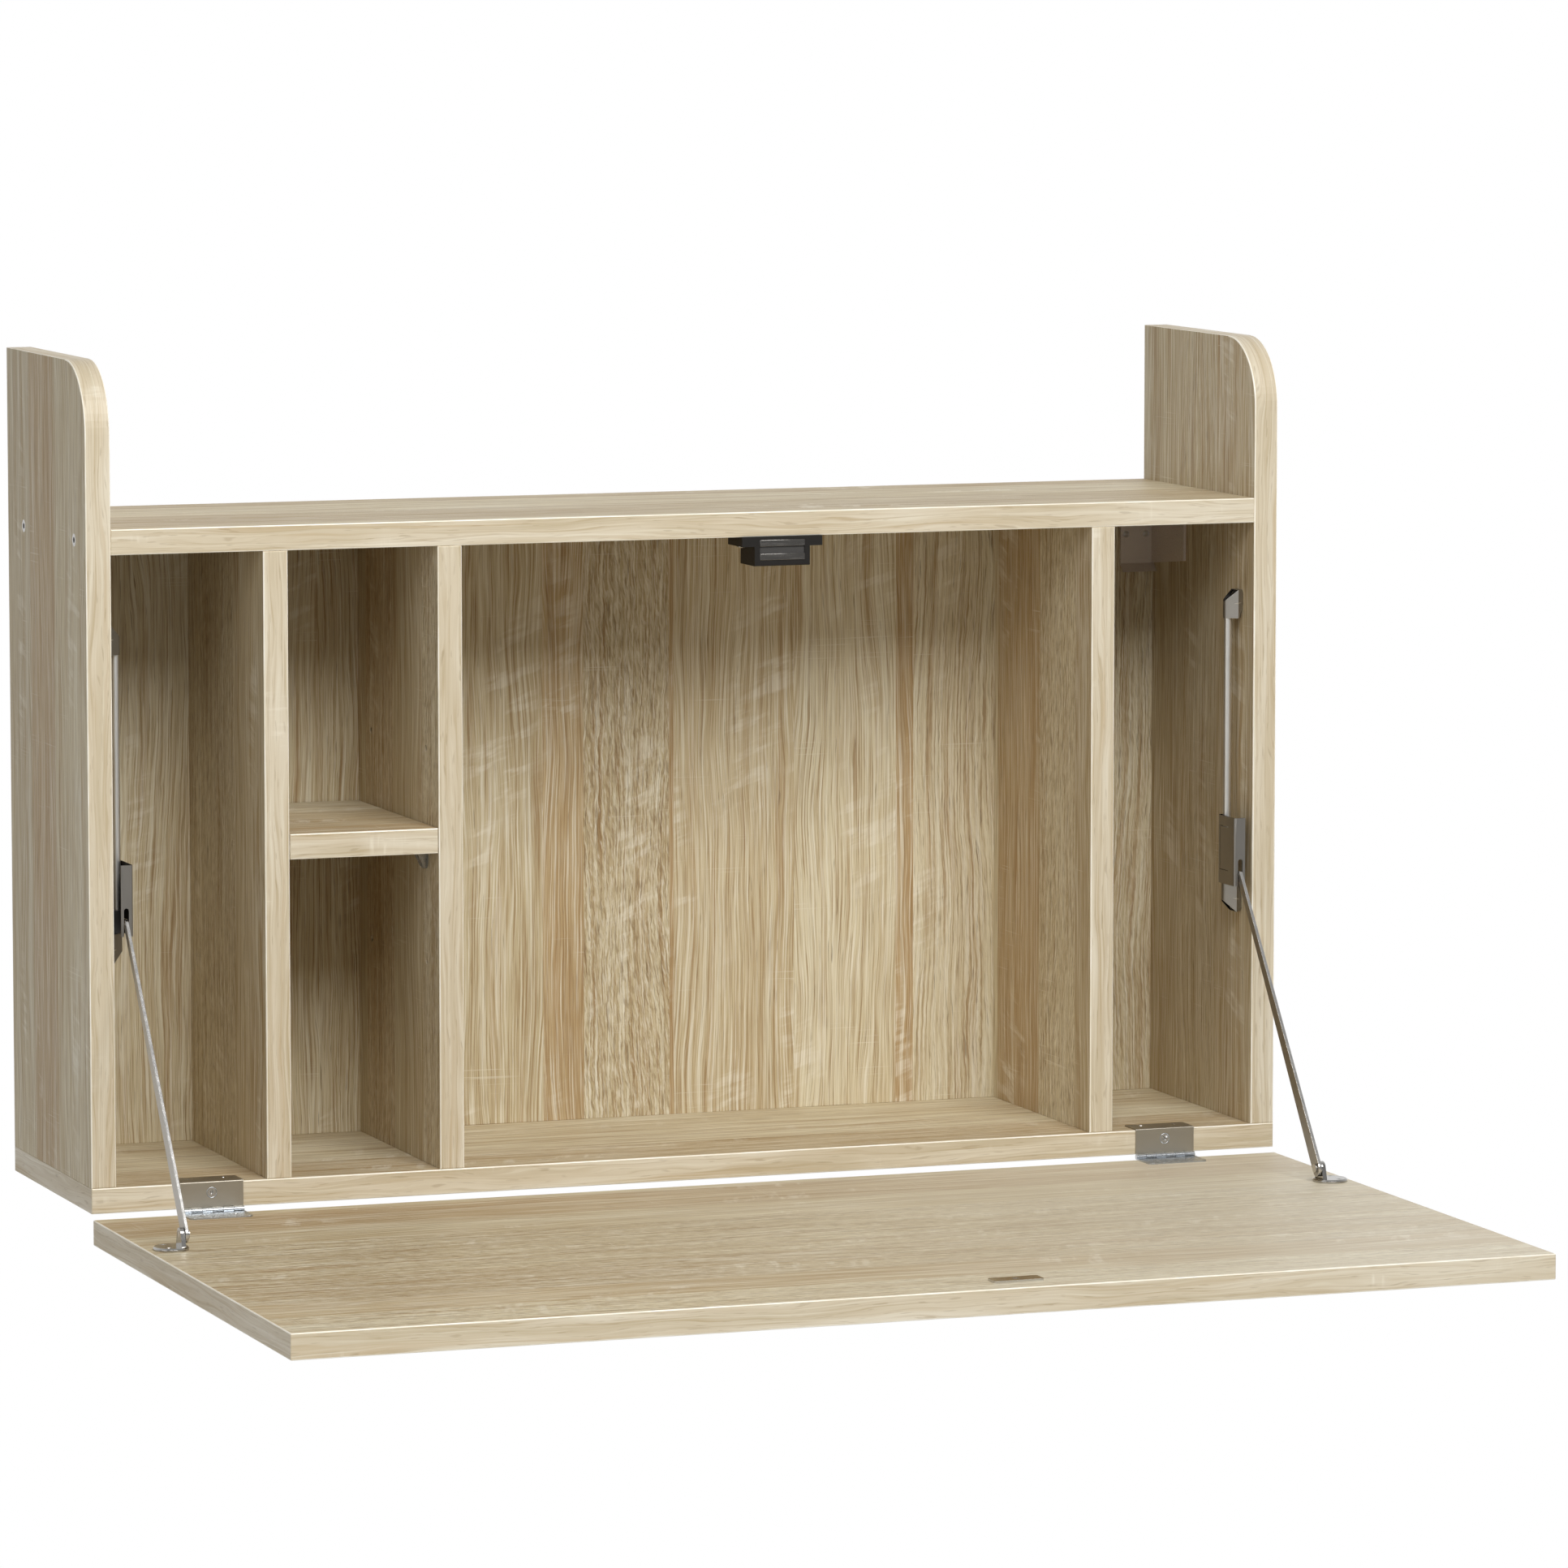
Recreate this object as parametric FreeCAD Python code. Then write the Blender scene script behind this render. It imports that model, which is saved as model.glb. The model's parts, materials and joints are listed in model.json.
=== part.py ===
import FreeCAD, Part

import math
import os

from FreeCAD import Vector

# A wall cabinet with a drop-leaf writing desk. All lengths are millimetres.
# X runs to the right as seen from the room, Y towards the wall and Z up.
# The origin lies on the wall, at the middle of the cabinet's underside.

# Boards of the cabinet
overall_width = 900.0
cabinet_depth = 210.0
board = 18.0
shelf_top = 480.0
side_rise = 116.0
corner_radius = 50.0
left_cell_width = 110.0
middle_cell_width = 110.0
right_cell_width = 110.0

# Small loose shelf and the pegs that carry it
peg_hole_radius = 2.5
peg_hole_depth = 10.0
peg_pin_length = 9.0
peg_front_inset = 30.0
peg_back_inset = 49.0
peg_row_height = 222.0
peg_row_pitch = 76.0
peg_tongue_width = 10.0
peg_tongue_reach = 8.0
peg_tongue_rise = 4.0
peg_tongue_drop = 10.0
peg_lip_height = 3.0
peg_tip_thickness = 2.5
small_shelf_side_gap = 0.4
small_shelf_back_gap = 1.0

# Screws and dowels that hold the boards together
joint_front_inset = 31.0
joint_back_inset = 43.0
confirmat_head_radius = 4.5
confirmat_head_depth = 3.0
confirmat_shank_radius = 3.0
confirmat_length = 50.0
dowel_radius = 4.0
dowel_in_face = 11.0
dowel_in_end = 24.0
back_dowel_low = 130.0
back_dowel_high = 350.0

# Fold of the desk: where its pivot lies, and how the desk board lies to it
pivot_forward = 2.0
pivot_drop = 1.5
desk_below_pivot = 2.0
desk_back_setback = 1.2

# Hinges
hinge_width = 46.0
hinge_inset = 64.0
leaf_thickness = 1.0
knuckle_radius = 2.0
knuckle_count = 6
knuckle_gap = 0.3
pin_radius = 1.0
running_clearance = 0.05
edge_leaf_notch = 2.5
edge_leaf_flange = 20.0
desk_leaf_reach = 25.0
leaf_corner_radius = 3.0
hinge_screw_head_radius = 3.0
hinge_screw_head_depth = 1.8
hinge_screw_shank_radius = 1.5
hinge_screw_length = 15.0
hinge_screw_offset = 13.0
edge_screw_height = 11.0
flange_screw_setback = 13.0
desk_screw_setback = 15.0

# Rod of each stay, its two mounts and their screws
rod_radius = 3.0
rod_from_side = 9.2
rod_setback = 26.5
socket_depth = 11.0
lower_mount_top = 194.3
mount_height = 21.0
mount_reach = 12.9
mount_ridge_reach = 4.6
mount_ridge_forward = 8.5
mount_front_return = 1.5
mount_back_reach = 4.6
mount_chin_height = 9.0
mount_brow_radius = 3.0
boss_radius = 4.3
boss_height = 12.4
mount_seat = 4.0
mount_screw_height = 16.6
mount_screw_pocket_gap = 0.3
mount_screw_head_radius = 3.4
mount_screw_head_height = 1.6
mount_screw_shank_radius = 1.75
mount_screw_length = 17.0

# Sliding housing on the rod
housing_from_side = 5.4
housing_width = 8.8
housing_depth = 31.5
housing_setback = 1.0
housing_height = 50.2
housing_sheet = 1.0
housing_front_radius = 1.5
housing_back_radius = 3.5
seat_gap = 0.3
head_gap = 1.0
glide_height = 15.9
glide_wall = 1.5
eye_height = 8.6
eye_setback = 1.5
notch_clearance = 0.6
notch_rise = 11.3
cheek_boss_radius = 2.0
cheek_boss_gap = 0.4
tongue_slit = 0.5
tongue_back_margin = 5.0
tongue_length = 15.0
tongue_top_margin = 7.5
tongue_bottom_margin = 10.0

# Arm of each stay
arm_thickness = 2.4
arm_foot_radius = 6.0
arm_eye_radius = 2.8
rivet_radius = 1.2
rivet_stand = 0.2

# Foot of each stay on the desk
foot_distance = 140.0
foot_pivot_height = 10.0
foot_disc_radius = 12.5
foot_disc_thickness = 2.5
foot_disc_bevel = 1.0
foot_disc_inset = 17.0
foot_tab_thickness = 3.0
foot_tab_top_radius = 5.0
foot_tab_base_width = 16.0
foot_pin_radius = 2.0
foot_pin_head_radius = 3.2
foot_pin_head_height = 1.0
arm_side_gap = 0.3
foot_screw_inset = 13.5
foot_screw_offset = 8.0
foot_screw_head_radius = 2.7
foot_screw_head_depth = 1.6
foot_screw_shank_radius = 1.3
foot_screw_length = 14.0

# Magnetic catch under the shelf and its strike plate on the desk
catch_width = 42.0
catch_height = 21.0
catch_depth = 30.0
catch_edge_radius = 1.0
catch_ear_width = 9.5
catch_ear_height = 7.0
catch_stack_drop = 2.2
pole_plate_width = 34.0
pole_plate_thickness = 4.7
pole_plate_length = 22.0
pole_plate_stand = 0.5
magnet_thickness = 5.2
magnet_recess = 1.0
catch_screw_head_radius = 3.2
catch_screw_head_height = 1.5
catch_screw_shank_radius = 1.5
catch_screw_length = 18.0
strike_width = 36.0
strike_length = 14.0
strike_thickness = 1.5
strike_gap = 0.3
strike_corner_radius = 2.0
strike_screw_head_radius = 2.8
strike_screw_head_depth = 1.4
strike_screw_shank_radius = 1.4
strike_screw_length = 12.0

# Corner brackets for the wall screws
bracket_sheet = 2.0
bracket_width = 27.0
bracket_depth = 64.0
bracket_height = 44.0
bracket_side_height = 38.0
bracket_lip = 6.0
bracket_flange_width = 14.0
bracket_flange_depth = 30.0
wall_hole_radius = 2.5
wall_hole_spacing = 16.0
wall_hole_inset = 6.5
wall_hole_drop = 22.0
bracket_screw_head_radius = 3.5
bracket_screw_head_height = 1.5
bracket_screw_shank_radius = 1.75
bracket_screw_length = 15.0
bracket_screw_setback = 12.0

# Every cutting tool runs this far past the face that it opens
overrun = 1.0

# An edge is picked by its middle point to this accuracy
nearness = 0.05

# Places that follow from the sizes above
front = -cabinet_depth
half_width = overall_width / 2
side_inner = half_width - board
shelf_under = shelf_top - board
overall_height = shelf_top + side_rise
divider_left_x = -side_inner + left_cell_width
divider_middle_x = divider_left_x + board + middle_cell_width
divider_right_x = side_inner - right_cell_width - board
main_centre = (divider_middle_x + board + divider_right_x) / 2
peg_row = board + peg_row_height
small_shelf_under = peg_row + peg_tongue_rise
pivot_y = front - pivot_forward
pivot_z = -pivot_drop
desk_top = pivot_z - desk_below_pivot
desk_back = pivot_y - desk_back_setback
desk_length = shelf_top
desk_front = desk_back - desk_length
arm_x = side_inner - rod_from_side
rod_y = front + rod_setback
housing_bottom = lower_mount_top + seat_gap
housing_front = front + housing_setback
housing_outer_x = side_inner - housing_from_side
housing_inner_x = housing_outer_x - housing_width
eye_y = front + eye_setback
eye_z = housing_bottom + eye_height
foot_y = pivot_y - foot_distance
foot_z = desk_top + foot_pivot_height
arm_length = math.hypot(eye_y - foot_y, eye_z - foot_z)
closed_foot_y = pivot_y + foot_z - pivot_z
closed_foot_z = pivot_z + foot_distance
closed_eye_z = closed_foot_z + math.sqrt(arm_length ** 2 - (eye_y - closed_foot_y) ** 2)
slider_travel = closed_eye_z - eye_z
upper_mount_bottom = housing_bottom + glide_height + slider_travel + head_gap
pole_face = pivot_y - desk_below_pivot + strike_thickness + strike_gap
catch_front = pole_face + pole_plate_stand
stack_height = pole_plate_thickness * 2 + magnet_thickness
stack_top = shelf_under - catch_stack_drop
strike_distance = stack_top - stack_height / 2 - pivot_z


def box(x0, x1, y0, y1, z0, z1):
    """Block between two corners."""
    return Part.makeBox(x1 - x0, y1 - y0, z1 - z0, Vector(x0, y0, z0))


def prism(edges, along):
    """Solid swept straight from a closed outline of edges."""
    return Part.Face(Part.Wire(edges)).extrude(along)


def lines(points):
    """Straight edges that join the points in their order."""
    return [Part.makeLine(start, end) for start, end in zip(points, points[1:])]


def arc(start, middle, end):
    """Round edge through three points."""
    return Part.Arc(start, middle, end).toShape()


def joined(shapes):
    """One solid from several that meet, without the seams between them."""
    return shapes[0].multiFuse(shapes[1:]).removeSplitter()


def edges_at(shape, x=None, y=None, z=None):
    """Edges whose middle point has the given coordinates."""
    found = []
    for edge in shape.Edges:
        middle = edge.BoundBox.Center
        pairs = ((x, middle.x), (y, middle.y), (z, middle.z))
        if all(wanted is None or abs(wanted - got) < nearness for wanted, got in pairs):
            found.append(edge)
    return found


def mirrored(shape):
    """The same piece on the other side of the cabinet."""
    return shape.mirror(Vector(0, 0, 0), Vector(1, 0, 0))


def group(shapes):
    """Separate solids kept together in one file."""
    return Part.makeCompound(shapes)


def both_sides(shapes):
    """The given pieces and their mirror images, as separate solids."""
    return group(shapes + [mirrored(shape) for shape in shapes])


def sunk_screw(at, along, head_radius, head_depth, shank_radius, length):
    """Countersunk screw whose flat head lies in the surface at the given point."""
    head = Part.makeCone(head_radius, shank_radius, head_depth, at, along)
    shank = Part.makeCylinder(shank_radius, length, at, along)
    return joined([head, shank])


def pan_screw(at, along, head_radius, head_height, shank_radius, length):
    """Screw with a raised round head that bears on the surface at the given point."""
    face = at - along * head_height
    head = Part.makeCylinder(head_radius, head_height, face, along)
    head = head.makeChamfer(head_height / 2, edges_at(head, face.x, face.y, face.z))
    shank = Part.makeCylinder(shank_radius, length, at, along)
    return joined([head, shank])


def joint_rows():
    """Depths at which the boards are screwed and dowelled together."""
    return [front + joint_front_inset, -joint_back_inset]


def shelf_screws():
    """Screws through each side board into the ends of the top shelf."""
    height = shelf_under + board / 2
    screws = []
    for y in joint_rows():
        at = Vector(half_width, y, height)
        screws.append(sunk_screw(at, Vector(-1, 0, 0), confirmat_head_radius, confirmat_head_depth,
                                 confirmat_shank_radius, confirmat_length))
    return both_sides(screws)


def upright_centres():
    """Middle planes of the two sides and the three dividers."""
    starts = [-half_width, divider_left_x, divider_middle_x, divider_right_x, side_inner]
    return [start + board / 2 for start in starts]


def bottom_screws():
    """Screws up through the bottom board into every upright."""
    screws = []
    for x in upright_centres():
        for y in joint_rows():
            screws.append(sunk_screw(Vector(x, y, 0), Vector(0, 0, 1), confirmat_head_radius,
                                     confirmat_head_depth, confirmat_shank_radius, confirmat_length))
    return group(screws)


def shelf_dowels():
    """Dowels between the dividers' upper ends and the top shelf."""
    length = dowel_in_end + dowel_in_face
    dowels = []
    for x in upright_centres()[1:-1]:
        for y in joint_rows():
            start = Vector(x, y, shelf_under - dowel_in_end)
            dowels.append(Part.makeCylinder(dowel_radius, length, start, Vector(0, 0, 1)))
    return group(dowels)


def back_dowels():
    """Dowels between the back board's ends and the side boards."""
    length = dowel_in_end + dowel_in_face
    dowels = []
    for z in (back_dowel_low, back_dowel_high):
        start = Vector(side_inner - dowel_in_end, -board / 2, z)
        dowels.append(Part.makeCylinder(dowel_radius, length, start, Vector(1, 0, 0)))
    return both_sides(dowels)


def peg_holes(face_x, towards):
    """Three rows of two blind holes for the pegs of the small shelf."""
    holes = []
    for row in (-1, 0, 1):
        for y in (front + peg_front_inset, -peg_back_inset):
            at = Vector(face_x, y, peg_row + row * peg_row_pitch)
            holes.append(Part.makeCylinder(peg_hole_radius, peg_hole_depth, at, Vector(towards, 0, 0)))
    return group(holes)


def peg(face_x, y, into):
    """Shelf peg: a round pin and a tongue with a flat top, thinner towards its round tip."""
    out = -into
    half = peg_tongue_width / 2
    top = peg_row + peg_tongue_rise
    tip = peg_row - peg_tongue_drop
    face = [Vector(face_x, y - half, tip + half), Vector(face_x, y - half, top),
            Vector(face_x, y + half, top), Vector(face_x, y + half, tip + half)]
    round_tip = arc(face[-1], Vector(face_x, y, tip), face[0])
    front_view = prism(lines(face) + [round_tip], Vector(out * peg_tongue_reach, 0, 0))
    reach = face_x + out * peg_tongue_reach
    thin = face_x + out * peg_tip_thickness
    side = [Vector(face_x, y - half, top), Vector(reach, y - half, top),
            Vector(reach, y - half, top - peg_lip_height), Vector(thin, y - half, tip),
            Vector(face_x, y - half, tip), Vector(face_x, y - half, top)]
    side_view = prism(lines(side), Vector(0, peg_tongue_width, 0))
    pin_start = Vector(face_x, y, peg_row)
    pin = Part.makeCylinder(peg_hole_radius, peg_pin_length, pin_start, Vector(into, 0, 0))
    return joined([front_view.common(side_view), pin])


def shelf_pegs():
    """The four pegs in the middle row."""
    pegs = []
    for y in (front + peg_front_inset, -peg_back_inset):
        pegs.append(peg(divider_left_x + board, y, -1))
        pegs.append(peg(divider_middle_x, y, 1))
    return group(pegs)


def side_board(cuts):
    """Right side board: it stands on the bottom board and has a round front top corner."""
    top = overall_height
    turn = top - corner_radius
    middle = corner_radius * (1 - math.sqrt(2) / 2)
    points = [Vector(side_inner, front + corner_radius, top), Vector(side_inner, 0, top),
              Vector(side_inner, 0, board), Vector(side_inner, front, board),
              Vector(side_inner, front, turn)]
    corner = arc(points[-1], Vector(side_inner, front + middle, top - middle), points[0])
    return prism(lines(points) + [corner], Vector(board, 0, 0)).cut(cuts)


def divider(x, cuts):
    """Upright board between the bottom board and the top shelf."""
    return box(x, x + board, front, -board, board, shelf_under).cut(cuts)


def small_shelf():
    """Loose shelf on the four pegs."""
    left = divider_left_x + board + small_shelf_side_gap
    right = divider_middle_x - small_shelf_side_gap
    return box(left, right, front, -board - small_shelf_back_gap, small_shelf_under,
               small_shelf_under + board)


def hinge_start():
    """Left end of the right hinge."""
    return half_width - hinge_inset - hinge_width


def knuckle_spans(first):
    """Ends of every second knuckle of the right hinge, along X."""
    width = (hinge_width - knuckle_gap * (knuckle_count - 1)) / knuckle_count
    pitch = width + knuckle_gap
    starts = [hinge_start() + pitch * number for number in range(first, knuckle_count, 2)]
    return [(start, start + width) for start in starts]


def edge_leaf(cuts):
    """Cabinet leaf of the right hinge: over the bottom board's front edge and onto its top."""
    x0 = hinge_start()
    outer = front - leaf_thickness
    top = board + leaf_thickness
    low = pivot_z + edge_leaf_notch
    back = front + edge_leaf_flange
    bend = leaf_thickness * (1 - math.sqrt(2) / 2)
    points = [Vector(x0, front, top), Vector(x0, back, top), Vector(x0, back, board),
              Vector(x0, front, board), Vector(x0, front, low), Vector(x0, outer, low),
              Vector(x0, outer, board)]
    turn = arc(points[-1], Vector(x0, outer + bend, top - bend), points[0])
    pieces = [prism(lines(points) + [turn], Vector(hinge_width, 0, 0))]
    rise = math.sqrt(knuckle_radius ** 2 - (pivot_forward - leaf_thickness) ** 2)
    for start, end in knuckle_spans(1):
        curl = [Vector(start, front, pivot_z), Vector(start, front, low), Vector(start, outer, low),
                Vector(start, outer, pivot_z + rise)]
        around = arc(curl[-1], Vector(start, pivot_y - knuckle_radius, pivot_z),
                     Vector(start, pivot_y, pivot_z - knuckle_radius))
        under = arc(Vector(start, pivot_y, pivot_z - knuckle_radius),
                    Vector(start, pivot_y + knuckle_radius * math.sqrt(2) / 2,
                           pivot_z - knuckle_radius * math.sqrt(2) / 2), curl[0])
        pieces.append(prism(lines(curl) + [around, under], Vector(end - start, 0, 0)))
    return joined(pieces).cut(hinge_bore(pin_radius)).cut(cuts)


def desk_leaf(cuts):
    """Desk leaf of the right hinge: flat on the desk, curled round the pin at its back."""
    x0 = hinge_start()
    x1 = x0 + hinge_width
    top = desk_top + leaf_thickness
    reach = pivot_y - desk_leaf_reach
    plate = box(x0, x1, reach, pivot_y - edge_leaf_notch, desk_top, top)
    corners = edges_at(plate, y=reach, z=desk_top + leaf_thickness / 2)
    plate = plate.makeFillet(leaf_corner_radius, corners)
    pieces = [plate]
    inset = math.sqrt(knuckle_radius ** 2 - (desk_below_pivot - leaf_thickness) ** 2)
    for start, end in knuckle_spans(0):
        curl = [Vector(start, pivot_y - inset, top), Vector(start, pivot_y - edge_leaf_notch, top),
                Vector(start, pivot_y - edge_leaf_notch, desk_top), Vector(start, pivot_y, desk_top)]
        behind = arc(curl[-1], Vector(start, pivot_y + knuckle_radius, pivot_z),
                     Vector(start, pivot_y, pivot_z + knuckle_radius))
        over = arc(Vector(start, pivot_y, pivot_z + knuckle_radius),
                   Vector(start, pivot_y - knuckle_radius * math.sqrt(2) / 2,
                          pivot_z + knuckle_radius * math.sqrt(2) / 2), curl[0])
        pieces.append(prism(lines(curl) + [behind, over], Vector(end - start, 0, 0)))
    return joined(pieces).cut(hinge_bore(pin_radius + running_clearance)).cut(cuts)


def hinge_bore(radius):
    """Tool for the bore through all knuckles of the right hinge."""
    start = Vector(hinge_start() - overrun, pivot_y, pivot_z)
    return Part.makeCylinder(radius, hinge_width + overrun * 2, start, Vector(1, 0, 0))


def hinge_pin():
    """Pin of the right hinge."""
    return Part.makeCylinder(pin_radius, hinge_width, Vector(hinge_start(), pivot_y, pivot_z),
                             Vector(1, 0, 0))


def hinge_screw(at, along):
    """One hinge screw."""
    return sunk_screw(at, along, hinge_screw_head_radius, hinge_screw_head_depth,
                      hinge_screw_shank_radius, hinge_screw_length)


def edge_leaf_screws():
    """Screws of both cabinet leaves: one in the front edge, two in the floor."""
    centre = hinge_start() + hinge_width / 2
    screws = [hinge_screw(Vector(centre, front - leaf_thickness, edge_screw_height), Vector(0, 1, 0))]
    for side in (-1, 1):
        at = Vector(centre + side * hinge_screw_offset, front + flange_screw_setback,
                    board + leaf_thickness)
        screws.append(hinge_screw(at, Vector(0, 0, -1)))
    return both_sides(screws)


def desk_leaf_screws():
    """Screws of both desk leaves."""
    centre = hinge_start() + hinge_width / 2
    screws = []
    for side in (-1, 1):
        at = Vector(centre + side * hinge_screw_offset, pivot_y - desk_screw_setback,
                    desk_top + leaf_thickness)
        screws.append(hinge_screw(at, Vector(0, 0, -1)))
    return both_sides(screws)


def second_hinge(shape):
    """The left hinge's piece: the same part, moved and not mirrored."""
    moved = shape.copy()
    moved.translate(Vector(-(hinge_start() * 2 + hinge_width), 0, 0))
    return moved


def touch_point(centre, radius, start, side):
    """Where a straight line from the start touches a circle seen from above."""
    away = start - centre
    turn = side * math.acos(radius / away.Length)
    spoke = away * (radius / away.Length)
    turned = Vector(spoke.x * math.cos(turn) - spoke.y * math.sin(turn),
                    spoke.x * math.sin(turn) + spoke.y * math.cos(turn), 0)
    return centre + turned


def mount_plan():
    """The upper mount seen from above: a round boss joined to the side board by slanting faces."""
    low = upper_mount_bottom
    centre = Vector(arm_x, rod_y, low)
    ridge = Vector(side_inner - mount_ridge_reach, rod_y - mount_ridge_forward, low)
    front_foot = Vector(side_inner, ridge.y + mount_front_return, low)
    back_foot = Vector(side_inner, rod_y + mount_back_reach, low)
    front_touch = touch_point(centre, boss_radius, ridge, -1)
    back_touch = touch_point(centre, boss_radius, back_foot, 1)
    boss = arc(front_touch, Vector(arm_x - boss_radius, rod_y, low), back_touch)
    edges = lines([back_touch, back_foot, front_foot, ridge, front_touch]) + [boss]
    return prism(edges, Vector(0, 0, mount_height))


def mount_front_view():
    """The upper mount seen from the front: tall at the side board and sloping down to the boss."""
    y0 = rod_y - mount_ridge_forward
    tip = side_inner - mount_reach
    low = upper_mount_bottom
    top = low + mount_height
    points = [Vector(side_inner, y0, low), Vector(tip, y0, low), Vector(tip, y0, low + boss_height),
              Vector(side_inner - mount_ridge_reach, y0, top), Vector(side_inner, y0, top),
              Vector(side_inner, y0, low)]
    return prism(lines(points), Vector(0, mount_ridge_forward + mount_back_reach, 0))


def mount_side_view():
    """The upper mount seen from the side: a round brow and a chin that slopes back to the boss."""
    tip = side_inner - mount_reach
    y0 = rod_y - mount_ridge_forward
    y1 = rod_y + mount_back_reach
    low = upper_mount_bottom
    top = low + mount_height
    brow = mount_brow_radius
    cut_in = brow * (1 - math.sqrt(2) / 2)
    points = [Vector(tip, y0 + brow, top), Vector(tip, y1, top), Vector(tip, y1, low),
              Vector(tip, rod_y - boss_radius, low), Vector(tip, y0, low + mount_chin_height),
              Vector(tip, y0, top - brow)]
    corner = arc(points[-1], Vector(tip, y0 + cut_in, top - cut_in), points[0])
    return prism(lines(points) + [corner], Vector(mount_reach, 0, 0))


def rod_mount():
    """Upper mount of the right stay: a cast gusset with a blind socket for the rod and a screw pocket."""
    block = mount_plan().common(mount_front_view()).common(mount_side_view())
    socket = Part.makeCylinder(rod_radius, socket_depth, Vector(arm_x, rod_y, upper_mount_bottom))
    seat = Vector(side_inner - mount_seat, rod_y, upper_mount_bottom + mount_screw_height)
    pocket = Part.makeCylinder(mount_screw_head_radius + mount_screw_pocket_gap, cabinet_depth, seat,
                               Vector(-1, 0, 0))
    return block.cut(socket).cut(pocket)


def lower_rod_mount(shape):
    """The same mount turned upside down under the sliding housing."""
    middle = (upper_mount_bottom + lower_mount_top) / 2
    return shape.mirror(Vector(0, 0, middle), Vector(0, 0, 1))


def stay_rod():
    """Round rod of the right stay, from socket to socket."""
    start = lower_mount_top - socket_depth
    end = upper_mount_bottom + socket_depth
    return Part.makeCylinder(rod_radius, end - start, Vector(arm_x, rod_y, start))


def mount_screws():
    """One screw through each rod mount into the side board."""
    x = side_inner - mount_seat
    screws = []
    for z in (upper_mount_bottom + mount_screw_height, lower_mount_top - mount_screw_height):
        screws.append(pan_screw(Vector(x, rod_y, z), Vector(1, 0, 0), mount_screw_head_radius,
                                mount_screw_head_height, mount_screw_shank_radius, mount_screw_length))
    return both_sides(screws)


def housing_core(margin, front_radius, back_radius, open_side):
    """Block of the housing's plan, drawn in by a margin on its three walled sides."""
    x0 = housing_inner_x + margin
    x1 = housing_outer_x + open_side
    y0 = housing_front + margin
    y1 = housing_front + housing_depth - margin
    block = box(x0, x1, y0, y1, housing_bottom, housing_bottom + housing_height)
    block = block.makeFillet(front_radius, edges_at(block, x=x0, y=y0))
    return block.makeFillet(back_radius, edges_at(block, x=x0, y=y1))


def slider_housing():
    """Folded steel channel that rides on the rod, open towards the side board."""
    outside = housing_core(0, housing_front_radius, housing_back_radius, 0)
    inside = housing_core(housing_sheet, housing_front_radius - housing_sheet,
                          housing_back_radius - housing_sheet, overrun)
    shell = outside.cut(inside)
    half_notch = arm_thickness / 2 + notch_clearance
    notch_top = eye_z + notch_rise - half_notch
    y0 = housing_front - overrun
    depth = housing_sheet + overrun * 2
    slot = box(arm_x - half_notch, arm_x + half_notch, y0, y0 + depth, housing_bottom - overrun, notch_top)
    slot_end = Part.makeCylinder(half_notch, depth, Vector(arm_x, y0, notch_top), Vector(0, 1, 0))
    shell = shell.cut(slot).cut(slot_end).cut(spring_tongue_cuts())
    cheek = housing_inner_x + housing_sheet / 2
    boss_end = arm_x - arm_thickness / 2 - cheek_boss_gap
    boss = Part.makeCylinder(cheek_boss_radius, boss_end - cheek, Vector(cheek, eye_y, eye_z),
                             Vector(1, 0, 0))
    return joined([shell, boss.common(outside).cut(slot)])


def spring_tongue_cuts():
    """Three thin slits that free a spring tongue in the housing's cheek."""
    x0 = housing_inner_x - overrun
    x1 = housing_inner_x + housing_sheet + overrun
    y1 = housing_front + housing_depth - tongue_back_margin
    y0 = y1 - tongue_length
    z0 = housing_bottom + tongue_bottom_margin
    z1 = housing_bottom + housing_height - tongue_top_margin
    lower = box(x0, x1, y0, y1, z0, z0 + tongue_slit)
    upper = box(x0, x1, y0, y1, z1 - tongue_slit, z1)
    back = box(x0, x1, y1 - tongue_slit, y1, z0, z1)
    return group([lower, upper, back])


def slider_glide():
    """Plastic glide in the housing's lower back corner, with the rod's bore."""
    cavity = housing_core(housing_sheet, housing_front_radius - housing_sheet,
                          housing_back_radius - housing_sheet, 0)
    y0 = rod_y - rod_radius - glide_wall
    y1 = housing_front + housing_depth
    zone = box(housing_inner_x, housing_outer_x, y0, y1, housing_bottom, housing_bottom + glide_height)
    bore = Part.makeCylinder(rod_radius + running_clearance, glide_height,
                             Vector(arm_x, rod_y, housing_bottom))
    return cavity.common(zone).cut(bore)


def stay_arm():
    """Flat arm of the right stay, tapering from its foot to its upper eye."""
    x0 = arm_x - arm_thickness / 2
    foot = Vector(x0, foot_y, foot_z)
    eye = Vector(x0, eye_y, eye_z)
    along = (eye - foot) / arm_length
    across = along.cross(Vector(1, 0, 0))
    lean = (arm_foot_radius - arm_eye_radius) / arm_length
    spread = math.sqrt(1 - lean ** 2)
    left = along * lean + across * spread
    right = along * lean - across * spread
    edges = [Part.makeLine(foot + left * arm_foot_radius, eye + left * arm_eye_radius),
             arc(eye + left * arm_eye_radius, eye + along * arm_eye_radius, eye + right * arm_eye_radius),
             Part.makeLine(eye + right * arm_eye_radius, foot + right * arm_foot_radius),
             arc(foot + right * arm_foot_radius, foot - along * arm_foot_radius,
                 foot + left * arm_foot_radius)]
    blade = prism(edges, Vector(arm_thickness, 0, 0))
    foot_hole = Part.makeCylinder(foot_pin_radius + running_clearance, arm_thickness, foot, Vector(1, 0, 0))
    eye_hole = Part.makeCylinder(rivet_radius, arm_thickness, eye, Vector(1, 0, 0))
    return blade.cut(foot_hole).cut(eye_hole)


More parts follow.
